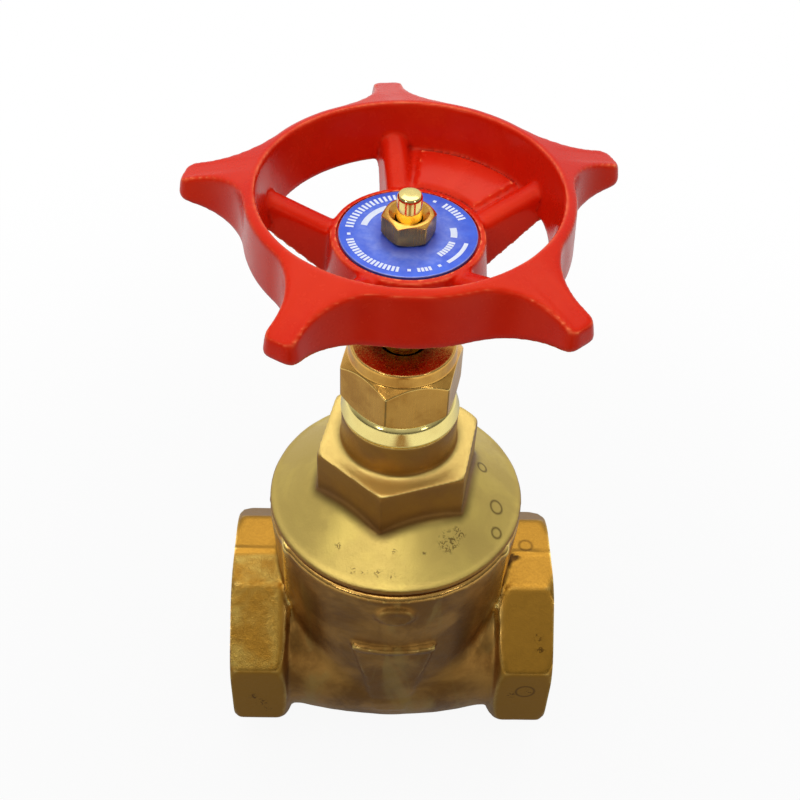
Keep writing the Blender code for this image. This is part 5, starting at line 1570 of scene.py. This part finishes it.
class VALVE_OT_plate(bpy.types.Operator):
    """Stamps the round blue plate and prints plain marks on it"""
    bl_idname = "valve.plate"
    bl_label = "Stamp plate"

    def execute(self, context):
        plate = context.scene.valve_plate
        low, high = plate_low.z, plate_high.z
        outline = [(plate.hole, low), (plate.radius, low, 0.15 * MM), (plate.radius, high, 0.3 * MM),
                   (plate.hole, high, 0.1 * MM)]
        disc = turned("hub_plate", outline, 160, closed=True)
        mark_edges(disc, 0.25)
        dressed(disc, "plate_blue", "handwheel", "blue_plate", "id_plate")
        tree, sockets = mark_tree()
        thick = plate.print_height
        level = high + thick / 2
        outer, inner = plate.outer_ring, plate.inner_ring
        long, wide = plate.mark_length, plate.mark_width
        dot = 0.7 * MM
        arcs = [(16, outer, 98, 74, long, wide), (1, outer, 184, 0, dot, dot),
                (17, outer, 193, 66, 0.9 * long, wide), (1, outer, 270, 0, dot, dot),
                (4, outer, 279, 11, 0.7 * long, wide), (1, outer, 300, 0, dot, dot),
                (7, inner, 312, 28, 0.8 * long, wide), (26, outer, 310, 34, 0.5 * long, 0.27 * MM),
                (14, inner, 352, 18, 0.8 * long, 0.2 * MM), (7, outer, 24, 26, long, wide),
                (1, outer, 62, 0, dot, dot), (1, outer, 84, 0, dot, dot),
                (34, inner, 118, 48, 0.8 * long, 0.22 * MM)]
        form = bmesh.new()
        for arc in arcs:
            marks = arc_of_marks(tree, sockets, *arc, thick, level)
            form.from_mesh(marks.data)
            bpy.data.objects.remove(marks, do_unlink=True)
        print_mesh = bpy.data.meshes.new("plate_print")
        form.to_mesh(print_mesh)
        form.free()
        printed = bpy.data.objects.new("plate_print", print_mesh)
        context.scene.collection.objects.link(printed)
        dressed(printed, "print_white", "handwheel", "blue_plate")
        return {"FINISHED"}


# Studio

def lamp(name, place, width, depth, power):
    """A soft box that faces the middle of the valve."""
    light = bpy.data.lights.new(name, "AREA")
    light.shape = "RECTANGLE"
    light.size = width
    light.size_y = depth
    light.energy = power
    made = bpy.data.objects.new(name, light)
    made.location = place
    made.rotation_euler = (Vector((0, 0, 0.08)) - Vector(place)).to_track_quat("-Z", "Y").to_euler()
    bpy.context.scene.collection.objects.link(made)


def floor_finish(colours):
    """A pale floor that turns to white away from the valve's shadow. Mirrored in metal, it shows painted
    shade near the valve and a painted reflection, warm and dark, in front."""
    tree, shader = material("studio_floor")
    place = object_place(tree)
    parts = add(tree, "ShaderNodeSeparateXYZ", {0: place}).outputs
    pale = tinted(tree, grained(tree, place, 30.0), colours.floor, darker(colours.floor, 0.985))
    feed(tree, shader, {"Base Color": pale, "Roughness": 0.9, "Specular IOR Level": 0.1})
    path = add(tree, "ShaderNodeLightPath").outputs
    away = distance(tree, place)
    sideways = sums(tree, "ABSOLUTE", plus(tree, parts[0], times(tree, parts[1], 0.04)))
    # Painted reflection: a warm dark patch in front, seen only in metal.
    dark_front_reflection = times(tree, span(tree, sideways, 0.03, 0.13, 1.0, 0.0), span(tree, parts[1], -0.16, -0.26),
                   path["Is Glossy Ray"])
    tone = tinted(tree, dark_front_reflection, (1, 1, 1), (0.3, 0.15, 0.04))
    # Painted shade near the valve, seen only in metal.
    near = times(tree, span(tree, away, 0.05, 0.3, 0.75, 0.0), path["Is Glossy Ray"])
    glow = add(tree, "ShaderNodeEmission", {"Color": tone, "Strength": less(tree, 1.0, near)})
    seen = most(tree, path["Is Camera Ray"], path["Is Transmission Ray"])
    seen = times(tree, seen, span(tree, away, 0.06, 0.3, 0.93, 1.0))
    seen = plus(tree, seen, times(tree, path["Is Glossy Ray"], 0.8), clamp=True)
    both = add(tree, "ShaderNodeMixShader", {0: seen, 1: shader.outputs[0], 2: glow.outputs[0]})
    tree.links.new(both.outputs[0], tree.nodes["Material Output"].inputs["Surface"])


def studio_world():
    """White to the camera. The room is pale behind the valve and overhead, and dark behind the camera."""
    world = bpy.data.worlds.new("studio")
    bpy.context.scene.world = world
    world.use_nodes = True
    tree = world.node_tree
    direction = add(tree, "ShaderNodeTexCoord").outputs["Generated"]
    parts = add(tree, "ShaderNodeSeparateXYZ", {0: direction}).outputs
    upper = span(tree, parts[2], 0.1, 0.8)
    behind = span(tree, parts[1], -0.3, 0.8)
    level = plus(tree, times(tree, upper, 0.42), times(tree, behind, 0.3), 0.12)
    sky = add(tree, "ShaderNodeCombineColor", {0: level, 1: level, 2: level}).outputs[0]
    path = add(tree, "ShaderNodeLightPath").outputs
    mirrored = times(tree, behind, 0.4, path["Is Glossy Ray"])
    seen = most(tree, path["Is Camera Ray"], path["Is Transmission Ray"], mirrored)
    feed(tree, tree.nodes["Background"], {"Color": tinted(tree, seen, sky, (1, 1, 1)), "Strength": 1.0})


class VALVE_OT_stage(bpy.types.Operator):
    """Sets up the pale floor, the soft light and the camera"""
    bl_idname = "valve.stage"
    bl_label = "Set up studio"

    def execute(self, context):
        scene = context.scene
        floor_finish(scene.valve_colours)
        floor = block("studio_floor", (-3, -3, -0.01), (3, 3, -0.0002))
        floor.data.materials.append(bpy.data.materials["studio_floor"])
        studio_world()
        lamp("top_box", (-0.1, 0.06, 1.0), width=1.5, depth=0.85, power=6.3)
        lamp("front_box", (0.0, -0.75, 1.1), width=0.4, depth=0.4, power=0.5)
        lamp("left_box", (-0.52, -0.66, 0.54), width=0.12, depth=0.12, power=0.55)
        lamp("right_box", (0.6, -0.6, 0.5), width=0.1, depth=0.1, power=0.25)
        camera = bpy.data.objects.new("camera", bpy.data.cameras.new("camera"))
        scene.collection.objects.link(camera)
        camera.location = (-8.5337 * MM, -199.8179 * MM, 312.41 * MM)
        camera.rotation_euler = [math.radians(degrees) for degrees in (44.7588, -1.9113, -0.497)]
        camera.data.lens = 55.3212
        camera.data.clip_start = 0.001
        scene.camera = camera
        scene.view_settings.view_transform = "Standard"
        return {"FINISHED"}


class VALVE_PT_panel(bpy.types.Panel):
    """Lists the valve's steps, sizes and colours"""
    bl_idname = "VALVE_PT_panel"
    bl_label = "Gate valve"
    bl_space_type = "VIEW_3D"
    bl_region_type = "UI"
    bl_category = "Valve"

    def draw(self, context):
        layout = self.layout
        for operator in OPERATORS:
            layout.operator(operator.bl_idname)
        for attribute, sizes in GROUPS.items():
            box = layout.box()
            box.label(text=sizes.__doc__.rstrip("."))
            for name in sizes.__annotations__:
                box.prop(getattr(context.scene, attribute), name)


OPERATORS = (VALVE_OT_finishes, VALVE_OT_body, VALVE_OT_wedge, VALVE_OT_bonnet, VALVE_OT_seals,
             VALVE_OT_gland, VALVE_OT_stem, VALVE_OT_wheel_nut, VALVE_OT_handwheel, VALVE_OT_plate,
             VALVE_OT_stage)
GROUPS = {"valve_body": ValveBodySizes, "valve_bonnet": ValveBonnetSizes, "valve_trim": ValveTrimSizes,
          "valve_wheel": ValveWheelSizes, "valve_plate": ValvePlateSizes, "valve_colours": ValveColours}


def register():
    for attribute, sizes in GROUPS.items():
        bpy.utils.register_class(sizes)
        setattr(bpy.types.Scene, attribute, bpy.props.PointerProperty(type=sizes))
    for made in (*OPERATORS, VALVE_PT_panel):
        bpy.utils.register_class(made)


def unregister():
    for made in (VALVE_PT_panel, *reversed(OPERATORS)):
        bpy.utils.unregister_class(made)
    for attribute, sizes in reversed(GROUPS.items()):
        delattr(bpy.types.Scene, attribute)
        bpy.utils.unregister_class(sizes)


def main():
    """Builds every piece in order."""
    register()
    bpy.ops.valve.finishes()
    bpy.ops.valve.body()
    bpy.ops.valve.wedge()
    bpy.ops.valve.bonnet()
    bpy.ops.valve.seals()
    bpy.ops.valve.gland()
    bpy.ops.valve.stem()
    bpy.ops.valve.wheel_nut()
    bpy.ops.valve.handwheel()
    bpy.ops.valve.plate()
    bpy.ops.valve.stage()


if __name__ == "__main__":
    main()
